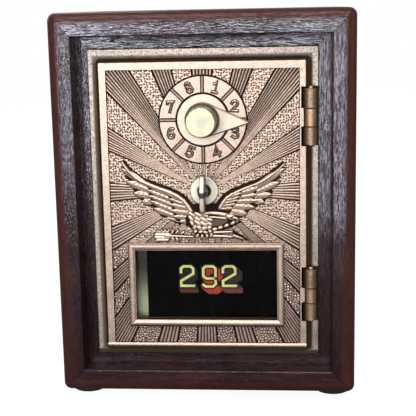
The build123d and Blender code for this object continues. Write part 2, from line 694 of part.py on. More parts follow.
def main():
    os.makedirs("parts", exist_ok=True)
    for name, board in case_boards().items():
        write(name, board)
    write("back_panel", back_panel())
    write("back_panel_screws", *[back_screw_at(x, up) for x, up in back_screw_places()])
    for name, place in foot_places().items():
        write(name, foot(*place))
    write("foot_screws", *[foot_screw(*place) for place in foot_places().values()])
    write("door_frame", frame_casting())
    write("frame_screws", *[frame_screw_at(*place) for place in frame_screw_places()])
    for name in hinges:
        write(f"hinge_pin_{name}", hinge_pin(name))

    write("door_casting", door_casting())
    write("window_glass", window_glass())
    write("number_plate", number_plate())
    write("glass_retainer", glass_retainer())
    write("retainer_screws", *small_screws("retainer_screws", retainer_back))
    write("lock_case", lock_case())
    write("lock_case_screws", *small_screws("lock_case_screws", lock_wall))
    write("bolt_guide", bolt_guide())
    write("bolt_guide_screws", *small_screws("bolt_guide_screws", guide_foot_thick))
    write("latch_escutcheon", escutcheon())

    write("dial_pointer", dial_pointer())
    write("dial_knob", dial_knob())
    write("dial_spindle", dial_spindle())
    run = spindle_radius + spindle_run
    drive_front, middle_front, back_front = wheel_fronts
    drive_back, middle_back = drive_front - wheel_thick, middle_front - wheel_thick
    first, second = fly_turns
    touch = math.degrees(2 * math.asin((fly_radius + spacer_gap / 2) / fly_ring))
    write("drive_wheel", combination_wheel(drive_front, spindle_radius) + fly_pin(drive_back, -1, first))
    write("middle_wheel", combination_wheel(middle_front, run)
          + fly_pin(middle_front, 1, first - touch) + fly_pin(middle_back, -1, second))
    write("back_wheel", combination_wheel(back_front, run) + fly_pin(back_front, 1, second - touch))
    write("wheel_spacer_front", spacer(drive_front))
    write("wheel_spacer_back", spacer(middle_front))
    write("dial_spindle_clip", spindle_clip(dial_up, clip_front))

    write("latch_handle", latch_handle())
    write("latch_spindle", latch_spindle())
    write("latch_cam", latch_cam())
    write("latch_drive_pin", drive_pin())
    write("latch_spindle_clip", spindle_clip(latch_up, latch_clip_front))
    write("latch_bolt", latch_bolt())


main()
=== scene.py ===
import json
import math
import bmesh
import bpy
import numpy as np
from mathutils import Matrix, Vector


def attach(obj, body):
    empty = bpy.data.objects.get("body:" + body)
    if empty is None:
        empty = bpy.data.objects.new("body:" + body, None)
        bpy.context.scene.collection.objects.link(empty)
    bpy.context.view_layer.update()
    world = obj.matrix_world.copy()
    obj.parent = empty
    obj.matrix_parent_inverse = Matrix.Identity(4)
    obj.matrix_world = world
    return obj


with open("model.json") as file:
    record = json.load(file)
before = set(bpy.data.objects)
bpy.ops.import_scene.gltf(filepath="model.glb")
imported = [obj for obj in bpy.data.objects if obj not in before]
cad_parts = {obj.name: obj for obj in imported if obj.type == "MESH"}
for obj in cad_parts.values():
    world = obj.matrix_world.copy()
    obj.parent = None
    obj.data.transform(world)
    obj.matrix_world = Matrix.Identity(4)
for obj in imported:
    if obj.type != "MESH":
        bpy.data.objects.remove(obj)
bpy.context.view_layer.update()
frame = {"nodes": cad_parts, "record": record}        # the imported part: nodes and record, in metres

mm = 0.001
frameFace = -43.4        # Y of the brass frame's face, in mm; "out" is the distance in front of it
frameMiddle = 81.55      # Z of the frame's middle; "up" is counted from it
white = (1.0, 1.0, 1.0, 1.0)


def place(x, out, up):
    return (x * mm, (frameFace - out) * mm, (frameMiddle + up) * mm)


def rgb(red, green, blue):      # a colour as it looks on screen, 0 to 255
    parts = [c / 255 for c in (red, green, blue)]
    return (*(c / 12.92 if c < 0.0404 else ((c + 0.055) / 1.055) ** 2.4 for c in parts), 1.0)


def meshObject(name, points, faces, smooth=None):
    mesh = bpy.data.meshes.new(name)
    mesh.from_pydata(points, [], faces)
    mesh.update()
    if smooth is not None:
        mesh.polygons.foreach_set("use_smooth", np.resize(smooth, len(mesh.polygons)))
    thing = bpy.data.objects.new(name, mesh)
    bpy.context.scene.collection.objects.link(thing)
    return thing


# small helpers for node trees; a value is a number or another node's socket
def wire(tree, sockets, values):        # a socket is linked, a plain value is set on the input itself
    for key, value in values.items():
        if isinstance(value, bpy.types.NodeSocket):
            tree.links.new(value, sockets[key])
        else:
            sockets[key].default_value = value


def addNode(tree, kind, inputs=None, **settings):
    node = tree.nodes.new(kind)
    for name, value in settings.items():
        setattr(node, name, value)
    wire(tree, node.inputs, inputs or {})
    return node


def calc(tree, operation, a, b=0.0, clamp=False):
    return addNode(tree, "ShaderNodeMath", {0: a, 1: b}, operation=operation, use_clamp=clamp).outputs[0]


def times(tree, first, *others):
    for other in others:
        first = calc(tree, "MULTIPLY", first, other)
    return first


def most(tree, first, *others):
    for other in others:
        first = calc(tree, "MAXIMUM", first, other)
    return first


def minus(tree, a, b):
    return calc(tree, "SUBTRACT", a, b)


def apart(tree, a, b):
    return calc(tree, "ABSOLUTE", minus(tree, a, b))


def past(tree, value, centre, half):        # how far outside a strip of this half width
    return minus(tree, apart(tree, value, centre), half)


def span(tree, dx, dz):
    return calc(tree, "SQRT", calc(tree, "ADD", times(tree, dx, dx), times(tree, dz, dz)))


def ramp(tree, value, low, high, atLow=0.0, atHigh=1.0):
    return addNode(tree, "ShaderNodeMapRange", {0: value, 1: low, 2: high, 3: atLow, 4: atHigh},
                   interpolation_type="SMOOTHSTEP").outputs[0]


def mixColor(tree, factor, a, b, blend="MIX"):
    return addNode(tree, "ShaderNodeMix", {0: factor, 6: a, 7: b}, data_type="RGBA",
                   blend_type=blend).outputs[2]


def mixValue(tree, factor, a, b):
    return addNode(tree, "ShaderNodeMix", {0: factor, 2: a, 3: b}, data_type="FLOAT").outputs[0]


def noise(tree, vector, scale, detail=2.0, roughness=0.5):
    return addNode(tree, "ShaderNodeTexNoise", {"Vector": vector, "Scale": scale, "Detail": detail,
                                                "Roughness": roughness}).outputs[0]


def objectPlace(tree):
    return addNode(tree, "ShaderNodeTexCoord").outputs["Object"]


def newMaterial(name):
    material = bpy.data.materials.new(name)
    material.use_nodes = True
    return material, material.node_tree, material.node_tree.nodes["Principled BSDF"].inputs


def bumped(tree, shader, height, strength, depth):
    normal = addNode(tree, "ShaderNodeBump", {"Strength": strength, "Distance": depth * mm, "Height": height})
    wire(tree, shader, {"Normal": normal.outputs[0], "Coat Normal": normal.outputs[0]})


# camera: focal length in pixels of the photo, place as x, out and up, angles in radians
camera = {"focal": 1020.0, "photoWidth": 416, "sensor": 36, "clip": (0.01, 20), "from": (35.38, 406.46, 79.2),
          "down": 0.1948, "left": 0.0838, "tilt": -0.0202}


def makeCamera():
    down, turn, tilt = camera["down"], -camera["left"], camera["tilt"]
    ahead = Vector((math.sin(turn) * math.cos(down), math.cos(turn) * math.cos(down), -math.sin(down)))
    right = Vector((math.cos(turn), -math.sin(turn), 0))
    top = right.cross(ahead)
    c, s = math.cos(tilt), math.sin(tilt)
    right, top = (c * right + s * top, c * top - s * right)
    lens = bpy.data.cameras.new("photoCamera")
    lens.sensor_width = camera["sensor"]
    lens.lens = camera["focal"] / camera["photoWidth"] * camera["sensor"]
    lens.clip_start, lens.clip_end = camera["clip"]
    view = bpy.data.objects.new("photoCamera", lens)
    facing = Matrix((right, top, -ahead)).transposed().to_4x4()
    view.matrix_world = Matrix.Translation(place(*camera["from"])) @ facing
    bpy.context.scene.collection.objects.link(view)
    bpy.context.scene.camera = view


# the room: how bright it is for matt things, for metal and at the rims, and the floor
studio = {"ambient": 0.30, "metalShade": 0.08, "rimShine": 0.45, "shineBetween": (-0.55, 0.75),
          "glossTint": (0.72, 0.80, 1.0, 1), "floor": 0.16, "floorGlow": 0.93, "floorShine": 0.05,
          "floorReach": 3, "floorRough": 0.9, "floorSpecular": 0.1}
lamps = {        # place (x, out, up), what it looks at, width, height, watts, colour
    "windowLamp": ((-110, 1180, 40), (0, 0, 0), 1.1, 0.60, 2.2, (0.98, 0.98, 1.0)),
    "sheenLamp": ((-130, 1180, 300), (0, 0, 30), 0.80, 0.24, 7.8, (0.86, 0.90, 1.0)),
    "leftStrip": ((-116, 300, 12), (-54, 0, 40), 0.020, 0.105, 0.16, (0.80, 0.82, 1.0)),
    "rightStrip": ((64, 300, -4), (52, 0, 32), 0.030, 0.135, 0.085, (0.80, 0.82, 1.0)),
    "topLamp": ((60, 500, 900), (0, 0, 0), 0.9, 0.5, 9.0, (1.0, 0.97, 0.93)),
    "backLamp": ((-600, -800, 500), (0, -60, 0), 0.9, 0.9, 7.0, (1.0, 1.0, 1.0)),
    "sideLamp": ((900, 300, 260), (0, -40, 0), 0.6, 0.8, 0.9, (1.0, 0.96, 0.92)),
}


def seenDirectly(tree, path):        # by the camera, or by it through the glass
    return most(tree, path["Is Camera Ray"], path["Is Transmission Ray"])


def makeWorld():
    world = bpy.data.worlds.new("studio")
    bpy.context.scene.world = world
    world.use_nodes = True
    tree = world.node_tree
    tree.nodes.clear()
    path = addNode(tree, "ShaderNodeLightPath").outputs
    seen = seenDirectly(tree, path)
    away = addNode(tree, "ShaderNodeTexCoord").outputs["Generated"]
    toBack = addNode(tree, "ShaderNodeSeparateXYZ", {0: away}).outputs[1]
    # the room is dim in front of the case and bright behind it
    shine = ramp(tree, toBack, *studio["shineBetween"], studio["metalShade"], studio["rimShine"])
    shine = times(tree, path["Is Glossy Ray"], shine)
    strength = most(tree, seen, shine, times(tree, path["Is Diffuse Ray"], studio["ambient"]))
    tint = mixColor(tree, path["Is Glossy Ray"], white, studio["glossTint"])
    light = addNode(tree, "ShaderNodeBackground", {"Color": tint, "Strength": strength})
    addNode(tree, "ShaderNodeOutputWorld", {"Surface": light.outputs[0]})


def makeLamps():
    for name, (at, aim, width, height, watts, color) in lamps.items():
        lamp = bpy.data.lights.new(name, "AREA")
        lamp.shape = "RECTANGLE"
        lamp.size, lamp.size_y, lamp.energy, lamp.color = width, height, watts, color
        holder = bpy.data.objects.new(name, lamp)
        holder.location = place(*at)
        holder.rotation_euler = (Vector(place(*aim)) - holder.location).to_track_quat("-Z", "Y").to_euler()
        # unseen through the glass, so that the plate behind it stays dark
        holder.visible_camera = holder.visible_transmission = False
        bpy.context.scene.collection.objects.link(holder)


def makeFloor():
    reach = studio["floorReach"]
    floor = meshObject("floor", [(x, y, 0) for x, y in ((-reach, -reach), (reach, -reach), (reach, reach),
                                                       (-reach, reach))], [(0, 1, 2, 3)])
    material, tree, shader = newMaterial("paleFloor")
    path = addNode(tree, "ShaderNodeLightPath").outputs
    seen = most(tree, seenDirectly(tree, path), times(tree, path["Is Glossy Ray"], studio["floorShine"]))
    wire(tree, shader, {
        "Base Color": (studio["floor"],) * 3 + (1,),
        "Roughness": studio["floorRough"], "Specular IOR Level": studio["floorSpecular"],
        "Emission Color": white, "Emission Strength": times(tree, seen, studio["floorGlow"])})
    floor.data.materials.append(material)


makeCamera()
makeWorld()
makeLamps()
makeFloor()
bpy.context.scene.view_settings.view_transform = "Standard"
print("camera, floor and lamps are set")


# node groups that several finishes share
def newGroup(name, inputs, outputs):
    tree = bpy.data.node_groups.new(name, "ShaderNodeTree")
    for label, kind, value in inputs:
        socket = tree.interface.new_socket(label, in_out="INPUT", socket_type="NodeSocket" + kind)
        socket.default_value = value
    for label, kind in outputs:
        tree.interface.new_socket(label, in_out="OUTPUT", socket_type="NodeSocket" + kind)
    return tree, addNode(tree, "NodeGroupInput").outputs, addNode(tree, "NodeGroupOutput").inputs


def useGroup(tree, name, inputs=None):
    return addNode(tree, "ShaderNodeGroup", inputs, node_tree=bpy.data.node_groups[name]).outputs


def makePlaceGroup():        # where a point is on the door, in mm, and how squarely it faces out
    tree, _, out = newGroup("doorPlace", [], [(n, "Float") for n in ("X", "Out", "Up", "Facing")])
    x, y, z = addNode(tree, "ShaderNodeSeparateXYZ", {0: objectPlace(tree)}).outputs
    turned = addNode(tree, "ShaderNodeVectorTransform",
                     {0: addNode(tree, "ShaderNodeNewGeometry").outputs["Normal"]},
                     vector_type="NORMAL", convert_from="WORLD", convert_to="OBJECT").outputs[0]
    turned = addNode(tree, "ShaderNodeVectorMath", {0: turned}, operation="NORMALIZE").outputs[0]
    towardsBack = addNode(tree, "ShaderNodeSeparateXYZ", {0: turned}).outputs[1]
    wire(tree, out, {
        "X": calc(tree, "DIVIDE", x, mm),
        "Out": minus(tree, frameFace, calc(tree, "DIVIDE", y, mm)),
        "Up": minus(tree, calc(tree, "DIVIDE", z, mm), frameMiddle),
        "Facing": times(tree, towardsBack, -1.0),
    })


def radiusFrom(tree, at, up):        # distance from a point on the door's middle line
    return span(tree, at["X"], minus(tree, at["Up"], up))


brassWear = {"patchScale": 150.0, "spotShare": 0.55, "rubbed": (0.45, 0.98), "grain": (0.36, 0.56),
             "gritShade": 0.85, "patches": (0.3, 0.65, 0.75, 1.0), "spots": (0.57, 0.70), "roughest": 0.78,
             "smoothing": 0.62, "patchRough": 0.25, "dirtAndShadeRough": 0.25, "dirtAndShadeMatt": 0.8}


def makeBrassGroup():        # worn brass: bright where it is rubbed, dark where it is sunk in patina and where painted shade is passed in, with specks
    tree, given, out = newGroup(
        "agedBrass",
        [("Bright", "Color", rgb(222, 196, 160)), ("Middle", "Color", rgb(150, 118, 80)),
         ("Dark", "Color", rgb(48, 34, 20)), ("Recess", "Float", 0.0), ("Facing", "Float", 1.0),
         ("Specks", "Float", 0.3), ("Smoothness", "Float", 0.5), ("Grain Size", "Float", 0.5),
         ("Grit", "Float", 0.1)],
        [("Color", "Color"), ("Roughness", "Float"), ("Metal", "Float"), ("Height", "Float")])
    where = objectPlace(tree)
    patches = noise(tree, where, brassWear["patchScale"], 3.0, 0.6)
    grainScale = calc(tree, "DIVIDE", 1.0 / mm, given["Grain Size"])
    grain = noise(tree, where, grainScale, 2.0, 0.6)
    spots = noise(tree, where, times(tree, grainScale, brassWear["spotShare"]), 1.0, 0.5)
    grit = minus(tree, 1.0, times(tree, given["Grit"], brassWear["gritShade"]))
    worn = times(tree, ramp(tree, given["Facing"], *brassWear["rubbed"]),
                 ramp(tree, grain, *brassWear["grain"], grit, 1.0),
                 ramp(tree, patches, *brassWear["patches"]))
    color = mixColor(tree, worn, given["Middle"], given["Bright"])
    dim = times(tree, ramp(tree, spots, *brassWear["spots"]), given["Specks"])
    # specks, patina and the painted shade passed in all darken the colour here
    dirtAndShade = calc(tree, "MAXIMUM", dim, given["Recess"], clamp=True)
    smooth = times(tree, given["Smoothness"], brassWear["smoothing"])
    rough = calc(tree, "ADD", minus(tree, brassWear["roughest"], smooth),
                 times(tree, minus(tree, patches, 0.5), brassWear["patchRough"]))
    wire(tree, out, {
        "Color": mixColor(tree, dirtAndShade, color, given["Dark"]),
        "Roughness": calc(tree, "ADD", rough, times(tree, dirtAndShade, brassWear["dirtAndShadeRough"]), clamp=True),
        "Metal": minus(tree, 1.0, times(tree, dirtAndShade, brassWear["dirtAndShadeMatt"])),
        "Height": grain,
    })


def makeLatheGroup():        # fine rings about an axis that runs out of the door
    tree, given, out = newGroup(
        "latheLines", [("Centre Up", "Float", 0.0), ("Pitch", "Float", 0.35)], [("Height", "Float")])
    at = useGroup(tree, "doorPlace")
    radius = radiusFrom(tree, at, given["Centre Up"])
    along = calc(tree, "DIVIDE", calc(tree, "ADD", radius, at["Out"]), given["Pitch"])
    lines = addNode(tree, "ShaderNodeTexNoise", {"W": along, "Scale": 1.0, "Detail": 2.0},
                    noise_dimensions="1D")
    wire(tree, out, {"Height": lines.outputs[0]})


woodGrain = {        # length along and across the grain in mm, detail and roughness of the noise
    "bands": (70.0, 5.0, 4.0, 0.6), "fibres": (12.0, 0.5, 3.0, 0.6), "pores": (5.0, 0.45, 1.0, 0.5),
    "blotches": (14.0, 9.0, 3.0, 0.55),
}
woodTones = {        # between which values of its noise each pattern shows, and how strongly
    "bands": (0.34, 0.66), "fibres": (0.45, 0.75, 0.0, 0.35), "blotches": (0.5, 0.72, 0.0, 0.35),
    "pores": (0.60, 0.70), "poreShare": 0.6, "poreColor": rgb(24, 12, 10), "gloss": (0.3, 0.7, 0.16, 0.28),
}
varnishCoat = {"rippleWidth": 0.6, "slant": 0.5, "slantLength": 3.2, "slantWidth": 0.5, "slantShare": 0.9,
               "height": 0.7, "poreDepth": 0.45, "specular": 0.12, "rough": 0.13, "ior": 1.8}


def makeWoodGroup():        # hardwood under a thick varnish; the vector's X runs along the grain, in mm
    tree, given, out = newGroup(
        "varnishedWood",
        [("Vector", "Vector", (0, 0, 0)), ("Ground", "Color", rgb(52, 26, 27)),
         ("Streak", "Color", rgb(27, 14, 18)), ("Rubbed", "Color", rgb(78, 41, 32)), ("Wear And Top Light", "Float", 0.0),
         ("Ripple Length", "Float", 3.0)],
        [("Color", "Color"), ("Roughness", "Float"), ("Height", "Float")])

    def scaled(factors):
        return addNode(tree, "ShaderNodeVectorMath", {0: given["Vector"], 1: factors},
                       operation="MULTIPLY").outputs[0]

    def pattern(name):
        along, across, detail, roughness = woodGrain[name]
        return noise(tree, scaled((1 / along, 1 / across, 1 / across)), 1.0, detail, roughness)

    blotches = pattern("blotches")
    pores = ramp(tree, pattern("pores"), *woodTones["pores"])
    bands = ramp(tree, pattern("bands"), *woodTones["bands"])
    color = mixColor(tree, bands, given["Streak"], given["Ground"])
    color = mixColor(tree, ramp(tree, pattern("fibres"), *woodTones["fibres"]), color, given["Streak"])
    color = mixColor(tree, ramp(tree, blotches, *woodTones["blotches"]), color, given["Rubbed"])
    color = mixColor(tree, given["Wear And Top Light"], color, given["Rubbed"])
    color = mixColor(tree, times(tree, pores, woodTones["poreShare"]), color, woodTones["poreColor"])
    narrow = 1 / varnishCoat["rippleWidth"]
    finer = addNode(tree, "ShaderNodeCombineXYZ", {0: calc(tree, "DIVIDE", 1.0, given["Ripple Length"]),
                                                   1: narrow, 2: narrow}).outputs[0]
    ripple = noise(tree, scaled(finer), 1.0, 2.0, 0.6)
    slantScale = (1 / varnishCoat["slantLength"],) + (1 / varnishCoat["slantWidth"],) * 2
    slanted = addNode(tree, "ShaderNodeMapping", {        # it was brushed on at a slant
        "Vector": given["Vector"], "Rotation": (0, varnishCoat["slant"], 0), "Scale": slantScale}).outputs[0]
    brushed = times(tree, noise(tree, slanted, 1.0, 1.0, 0.5), varnishCoat["slantShare"])
    ripple = times(tree, calc(tree, "ADD", ripple, brushed), varnishCoat["height"])
    wire(tree, out, {"Color": color, "Roughness": ramp(tree, blotches, *woodTones["gloss"]),
                     "Height": minus(tree, ripple, times(tree, pores, varnishCoat["poreDepth"]))})


for makeGroup in (makePlaceGroup, makeBrassGroup, makeLatheGroup, makeWoodGroup):
    makeGroup()


brasses = {        # bright, middle and dark colour, specks, smoothness, grain in mm, grit
    "castBrass": (rgb(212, 187, 165), rgb(120, 93, 71), rgb(28, 18, 11), 0.12, 0.55, 0.42, 0.55),
    "frameBrass": (rgb(196, 181, 165), rgb(108, 88, 66), rgb(64, 51, 34), 0.45, 0.52, 0.36, 1.0),
    "eagleBrass": (rgb(226, 200, 176), rgb(158, 130, 106), rgb(34, 22, 14), 0.08, 0.55, 0.42, 0.30),
    "pointerBrass": (rgb(204, 190, 166), rgb(136, 112, 90), rgb(50, 38, 26), 0.05, 0.56, 0.6, 0.12),
    "escutcheonBrass": (rgb(222, 216, 190), rgb(156, 150, 120), rgb(52, 46, 30), 0.10, 0.62, 0.6, 0.10),
    "retainerBrass": (rgb(206, 210, 168), rgb(110, 112, 88), rgb(30, 30, 24), 0.15, 0.45, 0.6, 0.10),
    "pinBrass": (rgb(160, 138, 108), rgb(104, 80, 54), rgb(52, 36, 20), 0.25, 0.62, 0.5, 0.12),
    "wheelBrass": (rgb(214, 182, 112), rgb(176, 142, 80), rgb(70, 52, 26), 0.10, 0.70, 0.6, 0.06),
    "lockCaseBrass": (rgb(206, 174, 112), rgb(150, 120, 70), rgb(60, 44, 24), 0.22, 0.55, 0.8, 0.12),
    "boltBrass": (rgb(216, 184, 118), rgb(160, 126, 72), rgb(66, 48, 26), 0.15, 0.66, 0.6, 0.08),
}
brassSheen = {"specular": 0.1, "grainDepth": 0.06}


def makeBrass(name, patinaAndShade):
    bright, middle, dark, specks, smoothness, grain, grit = brasses[name.split("_")[0]]
    material, tree, shader = newMaterial(name)
    at = useGroup(tree, "doorPlace")
    coat = useGroup(tree, "agedBrass", {
        "Bright": bright, "Middle": middle, "Dark": dark, "Recess": patinaAndShade(tree, at) if patinaAndShade else 0.0,
        "Facing": at["Facing"], "Specks": specks, "Smoothness": smoothness, "Grain Size": grain,
        "Grit": grit})
    color = coat["Color"]
    if patinaAndShade in (doorRecess, frameRecess):        # the knuckles have stayed browner
        color = mixColor(tree, knuckleShade(tree, at)[0], color, knuckle["tint"], "MULTIPLY")
    wire(tree, shader, {"Base Color": color, "Roughness": coat["Roughness"], "Metallic": coat["Metal"],
                        "Specular IOR Level": brassSheen["specular"]})
    bumped(tree, shader, coat["Height"], grit, brassSheen["grainDepth"])
    return material


dialPlace = {"up": 35.0, "rim": 17.62, "hub": 10.5, "bar": 0.45, "barEdge": 0.1, "barShade": 0.45,
             "rimHalf": 0.26, "hubHalf": 0.40, "fade": 0.16}
windowEdge = {"half": (31.9, 17.5), "up": -33.3}
patinaAndShadeSpans = {        # where it begins and ends, in mm, and how strong it is at both
    "field": (1.05, 1.45, 1.0, 0.0), "behind": (-0.6, 0.6, 0.35, 1.0), "front": (1.6, 1.9),
    "besideBar": (0.16, 0.34, 1.0, 0.0), "dialOuter": (17.6, 17.8, 1.0, 0.0), "dialInner": (10.2, 10.4),
    # the rim, under and borderFoot spans are painted shade
    "rimInside": (-1.1, -0.1), "rimOutside": (0.0, 0.1, 0.6, 0.0),
    "under": (-50.5, -49.2, 0.93, 0.0), "underWidth": (0.0, 0.05, 1.0, 0.0), "underEnd": (-51.1, -51.0),
    "borderFoot": (-59.5, -58.4, 0.94, 0.0),
}


def doorRecess(tree, at):        # dark patina on the sunk field; patina and painted shade along the dial's rings and dividers; painted shade on the window rim, the border's foot and the knuckles' flanks
    dx, dz = at["X"], minus(tree, at["Up"], dialPlace["up"])
    radius = span(tree, dx, dz)

    def ring(centre, half):
        return ramp(tree, apart(tree, radius, centre), half, half + dialPlace["fade"], 1.0, 0.0)

    def shade(value, name):
        return ramp(tree, value, *patinaAndShadeSpans[name])

    spoke = calc(tree, "PINGPONG", calc(tree, "ARCTAN2", dx, dz), math.pi / 8)
    aside = times(tree, radius, calc(tree, "SINE", spoke))
    bar, edge = dialPlace["bar"], dialPlace["barEdge"]
    beside = shade(apart(tree, aside, bar + edge), "besideBar")
    bar = ramp(tree, aside, bar - edge, bar, dialPlace["barShade"], 0.0)
    dividers = times(tree, most(tree, beside, bar), shade(radius, "dialOuter"), shade(radius, "dialInner"))
    rings = (ring(dialPlace["rim"], dialPlace["rimHalf"]), ring(dialPlace["hub"], dialPlace["hubHalf"]))
    lines = times(tree, most(tree, *rings, dividers), shade(at["Out"], "front"))
    rimX = past(tree, at["X"], 0.0, windowEdge["half"][0])
    edge = most(tree, rimX, past(tree, at["Up"], windowEdge["up"], windowEdge["half"][1]))
    rim = times(tree, shade(edge, "rimInside"), shade(edge, "rimOutside"))        # painted shade along its outer edge
    # painted shade on the lower half of the rim's foot
    under = times(tree, shade(at["Up"], "under"), shade(rimX, "underWidth"), shade(at["Up"], "underEnd"))
    field = times(tree, shade(at["Out"], "field"), shade(at["Out"], "behind"))
    proud, flank = knuckleShade(tree, at)
    # painted shade at the border's foot and on the knuckles' flanks
    return most(tree, field, lines, rim, under, shade(at["Up"], "borderFoot"), times(tree, proud, flank))


# flank is painted shade on the knuckles' sides
knuckle = {"ups": (35.9, -37.0), "near": (11.0, 11.3, 1.0, 0.0), "proud": (0.05, 0.3), "left": (39.7, 40.3),
           "flank": (0.50, 0.96, 0.95, 0.0), "joints": (39.2, 31.9, -34.25, -40.5),
           "jointDark": (0.16, 0.38, 0.9, 0.0), "tint": (0.86, 0.72, 0.58, 1.0)}


def knuckleShade(tree, at):        # hinge knuckles: rubbed in front, painted shade on both flanks, darker where they meet
    upper, lower = [apart(tree, at["Up"], up) for up in knuckle["ups"]]
    near = ramp(tree, calc(tree, "MINIMUM", upper, lower), *knuckle["near"])
    proud = times(tree, ramp(tree, at["Out"], *knuckle["proud"]), near, ramp(tree, at["X"], *knuckle["left"]))
    jointDark = [ramp(tree, apart(tree, at["Up"], joint), *knuckle["jointDark"]) for joint in knuckle["joints"]]
    return proud, most(tree, ramp(tree, at["Facing"], *knuckle["flank"]), *jointDark)


frameShade = {"x": -0.25, "up": -1.2, "half": (43.55, 61.6), "roll": (-0.2, 0.9, 1.0, 0.0),
              "top": (57.0, 60.0, 0.85, 0.55), "deep": (-1.5, -0.6, 1.0, 0.0),
              "foot": (-61.9, -60.9, 1.0, 0.0)}


def frameRecess(tree, at):        # the roll round the opening is darkened olive by patina and painted shade, less along the top where the light falls; painted shade on the deep parts, the foot and the knuckles' flanks; the flat rim is rubbed
    outside = most(tree, past(tree, at["X"], frameShade["x"], frameShade["half"][0]),
                   past(tree, at["Up"], frameShade["up"], frameShade["half"][1]))
    rolled = times(tree, ramp(tree, outside, *frameShade["roll"]), ramp(tree, at["Up"], *frameShade["top"]))
    proud, flank = knuckleShade(tree, at)
    dark = most(tree, rolled, ramp(tree, at["Out"], *frameShade["deep"]),
                ramp(tree, at["Up"], *frameShade["foot"]))
    return mixValue(tree, proud, dark, flank)


smallPatinaAndShade = {        # where it begins and ends, in mm or in facing, and how strong it is at both
    # reliefFoot is patina in the hollows; pointerSide, bore, thinEdge, retainer and handleRight are painted shade;
    # waist and handleFoot are painted dark reflections
    "reliefFoot": (1.15, 1.47, 1.0, 0.0), "knobFoot": (6.6, 7.3, 0.85, 0.0),
    "pointerSide": (0.3, 0.8, 0.6, 0.0), "bore": (2.6, 3.2, 1.0, 0.0), "thinEdge": (0.2, 0.8, 0.8, 0.0),
    "retainer": (-46.0, -26.0, 0.0, 0.93), "waistUp": 6.3, "waist": (0.9, 1.4, 0.95, 0.0),
    "handleFoot": (-1.2, -0.4, 0.8, 0.0), "handleRight": (0.2, 0.5, 0.0, 0.45),
}


def reliefRecess(tree, at):
    return ramp(tree, at["Out"], *smallPatinaAndShade["reliefFoot"])


def pointerRecess(tree, at):        # darker round the knob's foot; painted shade on the pointer's sides
    return most(tree, ramp(tree, radiusFrom(tree, at, dialPlace["up"]), *smallPatinaAndShade["knobFoot"]),
                ramp(tree, at["Facing"], *smallPatinaAndShade["pointerSide"]))


latchUp = 6.2


def escutcheonRecess(tree, at):        # painted shade in the bore and on the thin edge
    return most(tree, ramp(tree, radiusFrom(tree, at, latchUp), *smallPatinaAndShade["bore"]),
                ramp(tree, at["Facing"], *smallPatinaAndShade["thinEdge"]))


def retainerRecess(tree, at):        # painted shade: the strip seen beside the number plate is dark above and pale below
    return ramp(tree, at["Up"], *smallPatinaAndShade["retainer"])


# the eagle's dark parts are patina and painted shade, kept in its mesh
def eagleRecess(tree, at):
    return addNode(tree, "ShaderNodeAttribute", attribute_name="patinaAndShade").outputs["Fac"]


# knob and thumb turn: turned brass, cloudy in the middle of the face, with painted shade down the side
polishedTones = {"stain": rgb(180, 176, 146), "dark": rgb(54, 41, 22), "middle": rgb(166, 172, 166),
                 "paintedShadeAndReflection": rgb(20, 15, 10)}
polishedWear = {"stainScale": 260.0, "stains": (0.42, 0.75), "side": (0.3, 0.9, 1.0, 0.0),
                "middle": (0.8, 5.2, 0.65, 0.0), "lines": (0.5, 0.75, 0.0, 0.5), "rougher": 0.12,
                "stainShare": 0.35, "sideShare": 0.9, "middleLeast": 0.7, "bump": (0.12, 0.02)}


def makePolished(name, base, centreUp, pitch, rough, metal=1.0, paintedShadeAndReflection=None):
    material, tree, shader = newMaterial(name)
    at = useGroup(tree, "doorPlace")
    lines = useGroup(tree, "latheLines", {"Centre Up": centreUp, "Pitch": pitch})["Height"]
    patches = noise(tree, objectPlace(tree), polishedWear["stainScale"], 3.0, 0.6)
    stains = ramp(tree, patches, *polishedWear["stains"])
    # painted shade where the surface turns sideways
    side = ramp(tree, at["Facing"], *polishedWear["side"])
    middle = times(tree, ramp(tree, radiusFrom(tree, at, centreUp), *polishedWear["middle"]),
                   ramp(tree, stains, 0.0, 1.0, polishedWear["middleLeast"], 1.0))
    color = mixColor(tree, times(tree, stains, polishedWear["stainShare"]), base, polishedTones["stain"])
    color = mixColor(tree, middle, color, polishedTones["middle"])
    color = mixColor(tree, times(tree, side, polishedWear["sideShare"]), color, polishedTones["dark"])
    turned = times(tree, ramp(tree, lines, *polishedWear["lines"]), side)
    color = mixColor(tree, turned, color, polishedTones["dark"])
    # the handle's painted shade and painted dark reflections
    if paintedShadeAndReflection:
        color = mixColor(tree, paintedShadeAndReflection(tree, at), color, polishedTones["paintedShadeAndReflection"])
    roughness = ramp(tree, stains, 0.0, 1.0, rough, rough + polishedWear["rougher"])
    wire(tree, shader, {"Base Color": color, "Roughness": roughness, "Metallic": metal})
    bumped(tree, shader, lines, *polishedWear["bump"])
    return material


def handleTarnish(tree, at):        # painted dark reflections across the waist and at the foot, painted shade on the right half
    return most(tree, ramp(tree, apart(tree, at["Up"], smallPatinaAndShade["waistUp"]), *smallPatinaAndShade["waist"]),
                ramp(tree, at["Up"], *smallPatinaAndShade["handleFoot"]),
                ramp(tree, at["X"], *smallPatinaAndShade["handleRight"]))


